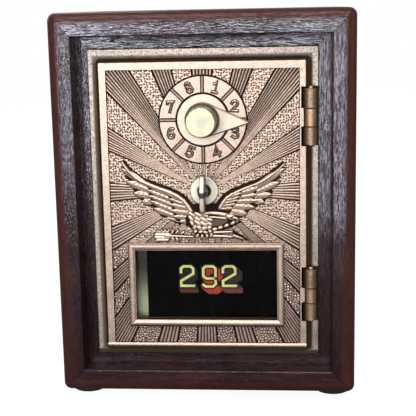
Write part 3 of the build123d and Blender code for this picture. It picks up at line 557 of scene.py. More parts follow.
patinaAndShadeMasks = {"castBrass_door": doorRecess, "frameBrass": frameRecess, "castBrass_rays": reliefRecess,
            "eagleBrass": eagleRecess, "castBrass_numerals": None, "pointerBrass": pointerRecess,
            "escutcheonBrass": escutcheonRecess, "retainerBrass": retainerRecess, "pinBrass": None,
            "wheelBrass": None, "lockCaseBrass": None, "boltBrass": None}
finishes = {name: makeBrass(name, patinaAndShade) for name, patinaAndShade in patinaAndShadeMasks.items()}
finishes["knobBrass"] = makePolished("knobBrass", rgb(208, 200, 158), dialPlace["up"], 0.30, 0.30)
finishes["handleBrass"] = makePolished("handleBrass", rgb(250, 230, 196), latchUp, 0.45, 0.42, 0.35,
                                       handleTarnish)
print("brass finishes are made")


woods = {        # turn about Y that lays the grain along X, shift, length and depth of the varnish's ripple
    "topWood": (0.0, (0, 0, 0), 3.5, 0.20), "bottomWood": (0.0, (140, 60, 30), 6.0, 0.12),
    "leftWood": (math.pi / 2, (60, 20, 90), 1.5, 0.19), "rightWood": (math.pi / 2, (210, 90, 10), 6.0, 0.065),
}
caseWear = {        # the outer edge is dulled and rubbed, its rubbed colour painted lighter towards the top; the varnish is thinner towards the foot and over the pores
    "half": (57.0, 74.3), "outer": (-2.2, 1.0), "rubbed": (-70.0, 40.0, 0.42, 0.66), "outerMatt": 0.85,
    "front": (0.5, 0.92, 0.12, 1.0), "foot": (-74.0, 10.0, 0.30, 1.0), "pores": (0.52, 0.80, 0.35, 1.0),
}


def alongGrain(tree, turn, shift):
    return addNode(tree, "ShaderNodeMapping", {"Vector": objectPlace(tree), "Location": shift,
                                               "Rotation": (0, turn, 0), "Scale": (1 / mm,) * 3}).outputs[0]


def makeWood(name):
    turn, shift, ripple, depth = woods[name]
    material, tree, shader = newMaterial(name)
    at = useGroup(tree, "doorPlace")
    halfX, halfUp = caseWear["half"]
    edge = most(tree, past(tree, at["X"], 0.0, halfX), past(tree, at["Up"], 0.0, halfUp))
    outer = ramp(tree, edge, *caseWear["outer"])
    # rubbed outer edge, with painted light making it lighter towards the top
    wear = times(tree, outer, ramp(tree, at["Up"], *caseWear["rubbed"]))
    board = useGroup(tree, "varnishedWood", {"Vector": alongGrain(tree, turn, shift), "Wear And Top Light": wear,
                                             "Ripple Length": ripple})
    varnish = times(tree, minus(tree, 1.0, times(tree, outer, caseWear["outerMatt"])),
                    ramp(tree, at["Facing"], *caseWear["front"]), ramp(tree, at["Up"], *caseWear["foot"]),
                    ramp(tree, board["Height"], *caseWear["pores"]))
    wire(tree, shader, {"Base Color": board["Color"], "Roughness": board["Roughness"], "Coat Weight": varnish,
                        "Specular IOR Level": varnishCoat["specular"], "Coat Roughness": varnishCoat["rough"],
                        "Coat IOR": varnishCoat["ior"]})
    bumped(tree, shader, board["Height"], 1.0, depth)
    return material


backWood = {"turn": math.pi / 2, "shift": (33, 71, 12), "rough": 0.6, "specular": 0.3, "bump": (0.25, 0.08),
            "tones": {"Ground": rgb(112, 72, 48), "Streak": rgb(74, 44, 30), "Rubbed": rgb(130, 88, 60)}}


def makeBackBoard():
    material, tree, shader = newMaterial("backBoard")
    vector = alongGrain(tree, backWood["turn"], backWood["shift"])
    board = useGroup(tree, "varnishedWood", {"Vector": vector, **backWood["tones"]})
    wire(tree, shader, {"Base Color": board["Color"], "Roughness": backWood["rough"],
                        "Specular IOR Level": backWood["specular"]})
    bumped(tree, shader, board["Height"], *backWood["bump"])
    return material


speckled = {        # noise scale, ramp of the colour, two colours, ramp of the roughness, metallic, bump
    "footRubber": (700.0, (0.5, 0.8), rgb(20, 20, 22), rgb(44, 43, 44),
                   (0.2, 0.8, 0.55, 0.8), 0.0, (0.2, 0.05)),
    "platedSteel": (500.0, (0.4, 0.7), rgb(196, 196, 192), rgb(150, 148, 140),
                    (0.3, 0.7, 0.25, 0.42), 1.0, (0.1, 0.03)),
}


def makeSpeckled(name):
    scale, tones, first, second, rough, metal, bump = speckled[name]
    material, tree, shader = newMaterial(name)
    specks = noise(tree, objectPlace(tree), scale, 3.0, 0.6)
    wire(tree, shader, {"Base Color": mixColor(tree, ramp(tree, specks, *tones), first, second),
                        "Roughness": ramp(tree, specks, *rough), "Metallic": metal})
    bumped(tree, shader, specks, *bump)
    return material


glass = {"smearAndReflectionScale": 90.0, "smearsAndReflections": (0.5, 0.8), "clean": (0.95, 0.98, 0.97, 1),
         "smearedAndReflected": (0.88, 0.92, 0.9, 1), "ior": 1.27, "specular": 0.04}


def makeGlass():
    material, tree, shader = newMaterial("clearGlass")
    smearsAndReflections = ramp(tree, noise(tree, objectPlace(tree), glass["smearAndReflectionScale"], 3.0, 0.6), *glass["smearsAndReflections"])
    wire(tree, shader, {"Base Color": mixColor(tree, smearsAndReflections, glass["clean"], glass["smearedAndReflected"]),
                        "Transmission Weight": 1.0, "IOR": glass["ior"],
                        "Specular IOR Level": glass["specular"], "Roughness": 0.0})
    return material


plate = {
    "smearAndReflectionScale": 110.0, "smearsAndReflections": (0.45, 0.8), "black": rgb(5, 6, 15), "smearedAndReflected": rgb(13, 16, 36),
    "bands": ((5.0, 5.5, rgb(96, 98, 102)), (24.0, 3.2, rgb(74, 82, 124))),        # faint upright reflections
    "bandCore": 0.5, "bandShare": 0.45, "bandUp": (-40.0, -20.0, 0.2, 1.0), "rough": (0.3, 0.7, 0.18, 0.32),
    "bump": (0.05, 0.05),
}


def makePlateBlack():
    material, tree, shader = newMaterial("blackNumberPlate")
    # the bluish smears are a painted reflection from the glass in front, mixed into the plate's colour
    smearsAndReflections = noise(tree, objectPlace(tree), plate["smearAndReflectionScale"], 3.0, 0.65)
    at = useGroup(tree, "doorPlace")
    color = mixColor(tree, ramp(tree, smearsAndReflections, *plate["smearsAndReflections"]), plate["black"], plate["smearedAndReflected"])
    for centre, half, tint in plate["bands"]:
        away = apart(tree, at["X"], centre)
        band = ramp(tree, away, half * plate["bandCore"], half, plate["bandShare"], 0.0)
        color = mixColor(tree, times(tree, band, ramp(tree, at["Up"], *plate["bandUp"])), color, tint)
    wire(tree, shader, {"Base Color": color, "Roughness": ramp(tree, smearsAndReflections, *plate["rough"]),
                        "Specular IOR Level": 0.0})
    bumped(tree, shader, smearsAndReflections, *plate["bump"])
    return material


paints = {        # colour, worn colour, wear, and the height over which it darkens
    "goldPaint": (rgb(255, 250, 150), rgb(190, 176, 84), 0.5, None),
    "outlinePaint": (rgb(9, 9, 10), rgb(24, 24, 24), 0.4, None),
    "redPaint": (rgb(206, 62, 34), rgb(120, 40, 26), 0.6, None),
    "brownPaint": (rgb(112, 54, 34), rgb(22, 14, 13), 0.6, (-37.2, -35.6)),
    "rosePaint": (rgb(124, 70, 58), rgb(58, 32, 26), 0.7, (-37.0, -34.5)),
    "dialInk": (rgb(26, 17, 11), rgb(60, 44, 30), 0.4, None),
}
paintWear = {"fleckScale": 1500.0, "flecks": (0.55, 0.75), "cloudScale": 420.0, "clouds": (0.35, 0.7),
             "cloudShare": 0.5, "specular": 0.2, "rough": (0.0, 1.0, 0.35, 0.6), "bump": (0.1, 0.02)}


def makePaint(name):        # sign paint: rubbed through in small flecks
    color, worn, wear, fade = paints[name]
    material, tree, shader = newMaterial(name)
    where = objectPlace(tree)
    flecks = ramp(tree, noise(tree, where, paintWear["fleckScale"], 2.0, 0.6), *paintWear["flecks"])
    cloud = ramp(tree, noise(tree, where, paintWear["cloudScale"], 2.0, 0.5), *paintWear["clouds"])
    cloud = times(tree, cloud, wear * paintWear["cloudShare"])
    if fade:
        cloud = most(tree, cloud, ramp(tree, useGroup(tree, "doorPlace")["Up"], *fade))
    mixed = mixColor(tree, times(tree, flecks, wear), color, worn)
    wire(tree, shader, {"Base Color": mixColor(tree, cloud, mixed, worn),
                        "Specular IOR Level": paintWear["specular"],
                        "Roughness": ramp(tree, flecks, *paintWear["rough"])})
    bumped(tree, shader, flecks, *paintWear["bump"])
    return material


for table, make in ((woods, makeWood), (speckled, makeSpeckled), (paints, makePaint)):
    finishes.update({name: make(name) for name in table})
finishes.update({"clearGlass": makeGlass(), "blackNumberPlate": makePlateBlack(),
                 "backBoard": makeBackBoard()})
slotFinish = {
    "foot_rubber": "footRubber", "plated_steel": "platedSteel", "pin_brass": "pinBrass",
    "wheel_brass": "wheelBrass", "lock_case_brass": "lockCaseBrass", "bolt_brass": "boltBrass",
    "clear_glass": "clearGlass", "black_number_plate": "blackNumberPlate", "back_panel_board": "backBoard",
}
nodeFinish = {
    "case_top_board": "topWood", "case_bottom_board": "bottomWood", "case_left_board": "leftWood",
    "case_right_board": "rightWood", "door_casting": "castBrass_door", "door_frame": "frameBrass",
    "dial_knob": "knobBrass", "dial_pointer": "pointerBrass", "latch_handle": "handleBrass",
    "latch_escutcheon": "escutcheonBrass", "glass_retainer": "retainerBrass",
}
for part in frame["record"]["subparts"]:
    finish = finishes[nodeFinish.get(part["node"]) or slotFinish[part["material_slot"]]]
    for slot in frame["nodes"][part["node"]].material_slots:
        slot.material = finish
print("every CAD part has its finish")


# sunburst on the door
burst = {
    "middle": (0.0, 6.0), "start": 5.4,        # centre of the rays and where they begin
    # degrees from straight up, the same on both sides; fluted first, then stippled in turn
    "edges": (0, 5, 14, 22.5, 30.7, 43.6, 55.6, 66.7, 84.7, 96.3, 111, 123, 131, 138.2, 144.2, 153.6, 162, 169,
              176.1, 180),
    "ridges": (3, 6, 11, 8, 6, 7, 6, 10, 5, 3),
    "gap": 0.30,        # half the gap beside a ray, in degrees
    "ridgeTop": 0.52, "ridgeDepth": 0.43, "weakRidge": 0.70, "crestPower": 0.6,
    "fadeRate": 1.5, "fadePower": 1.5,        # fine ridges are shallow
    "plateTop": 0.46, "pitPitch": 1.06, "pitSize": 0.35, "pitDepth": 0.30, "pitInner": 0.35,
    "seam": (0.05, 0.21), "pebbled": (-28, -2),        # the lower fields are pebbled rather than pitted
    "swellScale": 600.0, "swell": 0.16, "grid": 0.165, "spacing": 0.8, "shortest": 0.5, "bed": 0.25,
}
sunkField = {"left": -38.4, "right": 38.35, "foot": -57.95, "top": 54.9, "level": 1.0,
             "dialUp": 35.0, "dialRadius": 18.0, "windowUp": -33.3, "windowHalf": (32.15, 17.75)}


def rayStops(angle):        # where a ray from the middle meets the border, and what it crosses on the way
    dx, dz = math.sin(angle), math.cos(angle)
    cx, cz = burst["middle"]
    toSide = ((sunkField["right"] if dx > 0 else sunkField["left"]) - cx) / dx if abs(dx) > 1e-9 else 1e9
    toEnd = ((sunkField["top"] if dz > 0 else sunkField["foot"]) - cz) / dz if abs(dz) > 1e-9 else 1e9
    border = min(toSide, toEnd)
    ahead = dz * (sunkField["dialUp"] - cz)
    spread = ahead ** 2 - (sunkField["dialUp"] - cz) ** 2 + sunkField["dialRadius"] ** 2
    if dz > 0 and spread > 0:
        return border, (ahead - math.sqrt(spread), ahead + math.sqrt(spread))
    halfW, halfH = sunkField["windowHalf"]
    if dz < 0:
        enter = max((sunkField["windowUp"] + halfH - cz) / dz, 0)
        leave = min((sunkField["windowUp"] - halfH - cz) / dz, (halfW / abs(dx)) if abs(dx) > 1e-9 else 1e9)
        if leave > enter:
            return border, (enter, leave)
    return border, None


def breakAngles():        # where the rays stop clearing the dial or the window
    up = sunkField["dialUp"] - burst["middle"][1]
    halfW, halfH = sunkField["windowHalf"]
    corner = math.atan2(halfW, sunkField["windowUp"] + halfH - burst["middle"][1])
    return [math.asin(sunkField["dialRadius"] / up), corner]


def buildRays(name, side, wanted):
    points, faces, lift, phase, pitch, sharp, tops = [], [], [], [], [], [], []
    edges = [math.radians(e) for e in burst["edges"]]
    gap = math.radians(burst["gap"])
    for number in range(len(edges) - 1):
        if (number % 2 == 0) != (wanted == "flutes"):
            continue
        low, high = edges[number] + gap, edges[number + 1] - gap
        low, high = (0.0 if number == 0 else low), (math.pi if number == len(edges) - 2 else high)
        cuts = [low] + [b for b in breakAngles() if low < b < high] + [high]
        for start, stop in zip(cuts, cuts[1:]):
            ridges = burst["ridges"][number // 2]
            if wanted == "flutes":
                quarters = [low + (high - low) * k / (4 * ridges) for k in range(4 * ridges + 1)]
                angles = sorted({start, stop} | {a for a in quarters if start < a < stop})
            else:
                across = (stop - start) * rayStops((start + stop) / 2)[0] * burst["spacing"]
                angles = list(np.linspace(start, stop, max(2, int(across / burst["grid"]))))
            inner = [min(max(a, start + 1e-5), stop - 1e-5) for a in angles]
            stops = [rayStops(a) for a in inner]
            crossed = rayStops((start + stop) / 2)[1] is not None
            spans = [[(burst["start"], (hit[0] if crossed and hit else border)) for border, hit in stops]]
            if crossed and all(hit and border - hit[1] > burst["shortest"] for border, hit in stops):
                spans.append([(hit[1], border) for border, hit in stops])
            for reach in spans:
                length = max(b - a for a, b in reach)
                rows = 1 if wanted == "flutes" else max(2, int(length / burst["grid"]))
                base, wide = len(points), rows + 1
                for angle, (a, b) in zip(angles, reach):
                    for row in range(wide):
                        r = a + (b - a) * row / rows
                        x = burst["middle"][0] + r * math.sin(angle)
                        up = burst["middle"][1] + r * math.cos(angle)
                        points.append(place(side * x, sunkField["level"], up))
                        phase.append((angle - low) / (high - low) * ridges)
                        pitch.append(r * (high - low) / ridges)
                        lift.append(1.0)
                count = len(angles)
                top = [(base + i * wide + j, base + i * wide + j + 1, base + (i + 1) * wide + j + 1,
                        base + (i + 1) * wide + j) for i in range(count - 1) for j in range(rows)]
                ring = [base + j for j in range(wide)] + [base + i * wide + rows for i in range(1, count)]
                ring += [base + (count - 1) * wide + j for j in range(rows - 1, -1, -1)]
                ring += [base + i * wide for i in range(count - 2, 0, -1)]
                under = len(points)
                for index in ring:
                    x, y, z = points[index]
                    points.append((x, y + burst["bed"] * mm, z))
                    phase.append(phase[index])
                    pitch.append(pitch[index])
                    lift.append(0.0)
                turns = len(ring)
                around = [(k, (k + 1) % turns) for k in range(turns)]
                walls = [(ring[n], ring[k], under + k, under + n) for k, n in around]
                new = top + walls + [tuple(under + k for k in range(turns))]
                faces += new if side > 0 else [face[::-1] for face in new]
                tops += [True] * len(top) + [False] * (len(walls) + 1)
                sharp += [tuple(sorted((ring[k], ring[n]))) for k, n in around]
    flat = meshObject(name, points, faces, tops)
    for label, values in {"lift": lift, "phase": phase, "pitch": pitch}.items():
        flat.data.attributes.new(label, "FLOAT", "POINT").data.foreach_set("value", values)
    sharpPairs = set(sharp)
    keys = np.empty(2 * len(flat.data.edges), np.int32)
    flat.data.edges.foreach_get("vertices", keys)
    marks = [tuple(sorted(pair)) in sharpPairs for pair in keys.reshape(-1, 2).tolist()]
    flat.data.attributes.new("sharp_edge", "BOOLEAN", "EDGE").data.foreach_set("value", marks)
    return flat


def newNodesTree(name, inputs):
    tree = bpy.data.node_groups.new(name, "GeometryNodeTree")
    tree.is_modifier = True
    tree.interface.new_socket("Geometry", in_out="INPUT", socket_type="NodeSocketGeometry")
    for label, kind in inputs:
        tree.interface.new_socket(label, in_out="INPUT", socket_type="NodeSocket" + kind)
    tree.interface.new_socket("Geometry", in_out="OUTPUT", socket_type="NodeSocketGeometry")
    return tree, addNode(tree, "NodeGroupInput").outputs, addNode(tree, "NodeGroupOutput").inputs


def attribute(tree, name):
    return addNode(tree, "GeometryNodeInputNamedAttribute", {"Name": name}, data_type="FLOAT").outputs[0]


def finishTree(tree, given, out, height):        # raise the sheet's top, then hand it over
    raised = times(tree, height, attribute(tree, "lift"), -mm)
    offset = addNode(tree, "ShaderNodeCombineXYZ", {1: raised}).outputs[0]
    moved = addNode(tree, "GeometryNodeSetPosition",
                    {"Geometry": given["Geometry"], "Offset": offset}).outputs[0]
    whole = addNode(tree, "GeometryNodeRealizeInstances", {0: moved}).outputs[0]
    done = addNode(tree, "GeometryNodeSetMaterial",
                   {"Geometry": whole, "Material": given["Material"]}).outputs[0]
    tree.links.new(done, out[0])


def fluteTree():
    tree, given, out = newNodesTree("flutedRays", [("Ridge Top", "Float"), ("Ridge Depth", "Float"),
                                                   ("Weak Ridge", "Float"), ("Material", "Material")])
    phase = attribute(tree, "phase")
    crest = calc(tree, "POWER", times(tree, calc(tree, "PINGPONG", phase, 0.5), 2.0), burst["crestPower"])
    second = calc(tree, "MODULO", calc(tree, "FLOOR", calc(tree, "ADD", phase, 0.001)), 2.0)
    weak = minus(tree, 1.0, times(tree, second, minus(tree, 1.0, given["Weak Ridge"])))
    pitch = times(tree, attribute(tree, "pitch"), burst["fadeRate"])
    fade = calc(tree, "MINIMUM", calc(tree, "POWER", pitch, burst["fadePower"]), 1.0)
    depth = times(tree, given["Ridge Depth"], fade)
    sunk = times(tree, minus(tree, 1.0, times(tree, crest, weak)), depth)
    finishTree(tree, given, out, minus(tree, given["Ridge Top"], sunk))
    return tree


def stippleTree():
    tree, given, out = newNodesTree("stippledRays", [
        ("Plate Top", "Float"), ("Pit Pitch", "Float"), ("Pit Size", "Float"), ("Pit Depth", "Float"),
        ("Material", "Material")])
    x, _, z = addNode(tree, "ShaderNodeSeparateXYZ",
                      {0: addNode(tree, "GeometryNodeInputPosition").outputs[0]}).outputs
    flat = addNode(tree, "ShaderNodeCombineXYZ", {0: x, 1: z}).outputs[0]
    scale = calc(tree, "DIVIDE", 1 / mm, given["Pit Pitch"])

    def cells(randomness, feature):
        values = {"Vector": flat, "Scale": scale, "Randomness": randomness}
        return addNode(tree, "ShaderNodeTexVoronoi", values, voronoi_dimensions="2D",
                       feature=feature).outputs["Distance"]

    inner = times(tree, given["Pit Size"], burst["pitInner"])
    pit = ramp(tree, cells(0.6, "F1"), inner, given["Pit Size"], 1.0, 0.0)
    seam = ramp(tree, cells(1.0, "DISTANCE_TO_EDGE"), *burst["seam"], 1.0, 0.0)
    low, high = [(frameMiddle + up) * mm for up in burst["pebbled"]]
    pit = mixValue(tree, ramp(tree, z, low, high, 1.0, 0.0), pit, seam)
    swell = times(tree, minus(tree, noise(tree, flat, burst["swellScale"], 1.0, 0.5), 0.5), burst["swell"])
    height = calc(tree, "ADD", given["Plate Top"], swell)
    finishTree(tree, given, out, minus(tree, height, times(tree, pit, given["Pit Depth"])))
    return tree


def runTree(flat, tree, values):        # the evaluated result becomes a plain mesh object of the same name
    modifier = flat.modifiers.new("nodes", "NODES")
    modifier.node_group = tree
    for item in tree.interface.items_tree:
        if item.item_type == "SOCKET" and item.in_out == "INPUT" and item.name in values:
            modifier[item.identifier] = values[item.name]
    bpy.context.view_layer.update()
    solid = bpy.data.meshes.new_from_object(flat.evaluated_get(bpy.context.evaluated_depsgraph_get()))
    flat.modifiers.remove(modifier)
    flat.data = solid
    return flat


def hangOnDoor(piece, finish=None):
    if finish:
        piece.data.materials.append(finishes[finish])
    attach(piece, "door")


flutes, stipples = fluteTree(), stippleTree()
for sideName, side in (("left", -1), ("right", 1)):
    rays = runTree(buildRays(f"fluted_rays_{sideName}", side, "flutes"), flutes, {
        "Ridge Top": burst["ridgeTop"], "Ridge Depth": burst["ridgeDepth"], "Weak Ridge": burst["weakRidge"],
        "Material": finishes["castBrass_rays"]})
    plates = runTree(buildRays(f"stippled_rays_{sideName}", side, "stipple"), stipples, {
        "Plate Top": burst["plateTop"], "Pit Pitch": burst["pitPitch"], "Pit Size": burst["pitSize"],
        "Pit Depth": burst["pitDepth"], "Material": finishes["castBrass_rays"]})
    for piece in (rays, plates):
        hangOnDoor(piece)
        print(piece.name, len(piece.data.polygons), "faces")


# rolls on the window's rim and on the door's lower border
roll = {"face": 2.2, "rise": 0.45, "fullness": 0.7, "sunk": 0.08, "steps": 10,
        "rim": (31.95, 29.35, -51.0, -48.2, -18.4, -15.6), "border": (-41.55, 41.1, -60.6, -58.05)}


def rollObject(name, stations, closed):        # a station gives the roll's two edges there, as (x, up)
    profile = [(0.0, -roll["sunk"])]
    for k in range(roll["steps"] + 1):
        t = k / roll["steps"]
        arch = math.sin(math.pi * t) ** roll["fullness"] if 0 < k < roll["steps"] else 0.0
        profile.append((t, roll["rise"] * arch))
    profile.append((1.0, -roll["sunk"]))
    wide, count = len(profile), len(stations)
    points = [place(*np.insert(np.add(a, np.multiply(np.subtract(b, a), t)), 1, roll["face"] + lift))
              for a, b in stations for t, lift in profile]
    faces = []
    for k in range(count if closed else count - 1):
        a, b = wide * k, wide * ((k + 1) % count)
        faces += [(a + n, a + (n + 1) % wide, b + (n + 1) % wide, b + n) for n in range(wide)]
    if not closed:
        faces += [tuple(range(wide)), tuple(wide * (count - 1) + n for n in reversed(range(wide)))]
    piece = meshObject(name, points, faces)
    fixNormals(piece.data)
    hangOnDoor(piece, "castBrass_door")


def fixNormals(mesh):
    work = bmesh.new()
    work.from_mesh(mesh)
    bmesh.ops.recalc_face_normals(work, faces=work.faces)
    work.to_mesh(mesh)
    work.free()


outX, inX, footOut, footIn, topIn, topOut = roll["rim"]
rimCorners = ((-1, footOut, footIn), (1, footOut, footIn), (1, topOut, topIn), (-1, topOut, topIn))
rollObject("window_rim_roll", [((x * outX, zOut), (x * inX, zIn)) for x, zOut, zIn in rimCorners], True)
startX, stopX, footEdge, topEdge = roll["border"]
rollObject("lower_border_roll", [((x, footEdge), (x, topEdge)) for x in (startX, stopX)], False)
print("rolls are on")


# eagle, carved as a height map; x and up in mm
eagle = {
    "grid": 0.16, "box": (-35.2, 34.6, -16.2, 19.8), "rim": 0.32, "rimOut": 1.54, "lift": 1.62, "back": 0.85,
    "outline": 0.17, "tipOutline": 0.24,
    "leftLead": ((-33.1, 18.0), (-32.4, 16.9), (-30.6, 14.4), (-28.4, 12.2), (-26.0, 10.5), (-23.2, 9.3),
                 (-20.4, 8.0), (-17.2, 6.8), (-13.9, 5.6), (-10.7, 3.9), (-8.3, 2.0), (-6.7, -0.1),
                 (-5.4, -2.6)),
    "rightLead": ((32.4, 17.0), (30.0, 14.7), (26.3, 11.8), (23.1, 9.8), (20.0, 8.5), (16.6, 7.2), (13.8, 6.0),
                  (11.0, 4.7), (8.9, 3.2), (7.5, 1.5), (6.2, -0.6)),
    # each row of feathers: the lines between them, from the trailing end to the root
    "rows": (
        (((-33.0, 17.2), (-32.1, 12.5), (-28.9, 6.9), (-26.3, 3.4), (-21.9, 0.3)),
         ((-23.1, 9.4), (-22.9, 7.9), (-22.6, 5.6), (-22.3, 3.2), (-21.8, 0.8))),
        (((-23.4, 9.2), (-22.8, 7.5), (-22.8, 5.3), (-22.2, 3.1), (-21.6, 0.8), (-18.1, -3.5), (-12.2, -6.3)),
         ((-14.5, 5.8), (-14.2, 3.9), (-13.5, 1.7), (-13.2, -0.6), (-12.7, -3.1), (-12.0, -5.2),
          (-10.2, -6.9))),
        (((-14.8, 5.8), (-14.3, 3.8), (-13.6, 1.7), (-13.1, -0.8), (-12.5, -3.3), (-11.6, -5.6), (-7.7, -7.4)),
         ((-9.9, 3.6), (-8.3, 1.6), (-7.3, 0.0), (-6.8, -1.7), (-6.4, -3.8), (-6.2, -5.4), (-5.6, -7.0))),
        (((32.3, 16.8), (31.1, 12.3), (27.6, 5.9), (24.9, 2.9), (20.9, 0.2)),
         ((20.2, 8.4), (20.6, 6.4), (20.5, 4.8), (20.1, 3.2), (19.5, 1.5))),
        (((20.4, 8.2), (21.0, 5.6), (20.3, 3.2), (20.5, 0.7), (18.0, -2.0), (13.9, -4.4)),
         ((14.7, 5.9), (14.5, 4.4), (13.2, 2.8), (12.0, 1.1), (11.0, -0.9), (11.5, -3.4))),
        (((15.0, 5.9), (14.6, 4.3), (13.9, 3.0), (12.9, 1.5), (11.6, -0.3), (10.5, -1.9)),
         ((10.0, 4.2), (9.2, 3.0), (8.4, 1.8), (7.3, 0.6), (6.5, -0.5), (6.5, -1.6))),
    ),
    # small feathers on the breast: x, up, turn, half length, half width
    "breast": ((-5.2, -3.5, -34, 1.7, 0.7), (-2.6, -3.6, -30, 1.8, 0.72), (0.0, -3.9, -22, 1.8, 0.7),
               (-5.6, -5.2, -48, 1.6, 0.74), (-3.2, -5.2, -36, 1.9, 0.78), (-0.4, -5.6, -30, 2.0, 0.76),
               (2.0, -5.7, -16, 1.5, 0.66), (-5.2, -7.1, -62, 1.5, 0.72), (-3.0, -7.0, -44, 1.8, 0.8),
               (-0.6, -7.4, -34, 1.9, 0.8), (1.8, -7.4, -24, 1.4, 0.72), (-4.2, -8.9, 74, 1.2, 0.8),
               (-2.3, -9.0, -62, 1.3, 0.85), (-0.2, -9.2, 38, 1.3, 0.85), (1.7, -9.0, 14, 1.2, 0.72)),
    # rows of like lumps: half sizes, height over the lift, rise, darkness from patina and painted shade, rim; place
    # and turn of each
    "claws": ((1.15, 0.74), 0.25, 0.5, 0.0, 0.68,
              ((-3.9, -10.7, 40), (-1.8, -10.8, 15), (0.2, -11.0, -15), (2.1, -10.6, -50), (-3.2, -12.5, 64),
               (-1.2, -12.7, 84), (0.8, -12.6, 98), (2.5, -12.3, 70))),
    "chest": ((1.3, 0.82), 0.35, 0.46, 0.0, 0.7,
              ((4.0, -9.7, 10), (6.3, -9.0, 16), (8.8, -8.2, 22), (11.4, -7.1, 30))),
    "barbs": ((0.5, 0.85), 0.1, 0.35, 0.0, 0.7,
              ((-19.4, -10.3, 8), (-17.9, -10.3, 8), (-16.4, -10.3, 8), (-14.9, -10.3, 8))),
    "leaves": ((1.3, 0.58), 0.05, 0.36, 0.0, 0.7,
               ((-13.4, -10.8, 62), (-11.5, -10.9, 50), (-9.3, -11.2, 30), (-13.2, -13.9, -60),
                (-11.5, -13.9, -50))),
    # lockShade, breastBed and chestBed are dark sheets of painted shade under the lock, the breast and the throat
    "lockShade": ((6.2, 2.9), -0.08, 0.02, 1.0, 0.7, ((0.3, -1.4, 0),)),
    "breastBed": ((6.3, 4.4), 0.0, 0.35, 1.0, 0.7, ((-1.6, -6.8, -16),)),
    "chestBed": ((5.6, 2.1), -0.05, 0.25, 0.85, 0.7, ((5.4, -6.8, 14),)),
    "head": ((2.2, 1.25), 0.45, 0.6, 0.0, 0.78, ((10.6, -4.6, -16),)),
    "eye": ((0.34, 0.3), 1.0, 0.08, 0.9, 0.7, ((11.0, -4.6, 0),)),
    # leading edges: path, how far its shades lie off it, half widths, height over the lift, rise, rim
    "leads": (("leftLead", (0.55, 0.95), 0.60, 0.95, 0.34, 0.50, 0.80),
              ("rightLead", (0.5, 0.9), 0.46, 0.70, 0.34, 0.45, 0.78)), "leadShade": (0.42, 1.15),
    # arrows held in the claws: ends of each row of fletching
    "fletching": ((-20.0, -15.2), (-20.5, -14.6), (-20.5, -14.6), (-19.8, -15.4)),
    "rowUp": -10.9, "rowStep": 1.12, "rowHalf": 0.62, "rowRise": 0.34,
    # strokes: path, half width at both ends, height over the lift, rise, darkness from patina and painted shade, rim
    "shafts": ((((-16.5, -12.4), (-10.3, -12.6), (-5.0, -12.8)), 0.42, 0.46, 0.2, 0.4, 0.0, 0.72),
               (((3.4, -12.6), (8.1, -12.7), (12.2, -13.1)), 0.62, 0.5, 0.1, 0.36, 0.0, 0.72),
               (((3.7, -11.1), (8.2, -10.9), (11.2, -10.8)), 0.5, 0.42, 0.05, 0.3, 0.0, 0.72),
               (((11.6, -10.8), (14.4, -12.3), (17.6, -14.5)), 0.42, 0.2, -0.04, 0.02, 1.0, 0.72)),
    "neck": ((((2.2, -4.6), (5.2, -4.8), (8.4, -5.2)), 0.5, 0.6, 0.35, 0.3, 0.0, 0.6),
             (((-0.9, -3.2), (2.6, -2.9), (5.8, -3.2), (9.0, -3.9)), 0.62, 0.95, 0.45, 0.5, 0.0, 0.74)),
    "throat": ((((3.3, -10.5), (6.5, -10.0), (9.8, -9.1), (12.7, -7.7), (14.6, -6.6)),
                0.3, 0.2, 0.0, 0.02, 1.0, 0.72),),
    "beak": ((((12.0, -4.9), (13.3, -5.3), (13.8, -6.3)), 0.66, 0.28, 0.4, 0.45, 0.0, 0.74),
             (((10.6, -5.1), (12.4, -5.5)), 0.24, 0.2, 0.75, 0.02, 0.9, 0.72)),
}
plume = {"taper": 0.8, "bluntFrom": 0.52, "barbHeight": 0.05, "barbPitch": 3.4, "barbSlant": 3.0,
         "quillHeight": 0.10, "quillHalf": 0.16, "slope": 0.22, "fullness": 3.4, "lowerOutline": 1.45,
         "upperOutline": 0.8, "streak": 0.7, "streakAt": 0.38, "streakHalf": 0.13, "bed": (0.8, 0.75),
         "bedLength": 0.90, "rootIn": 0.8, "rootLeast": 0.5, "rootMore": 0.22, "tipLeast": 0.6,
         "tipMost": 1.6, "tipMore": 0.28, "layerStep": 0.10, "rise": 0.42, "flat": 0.02}


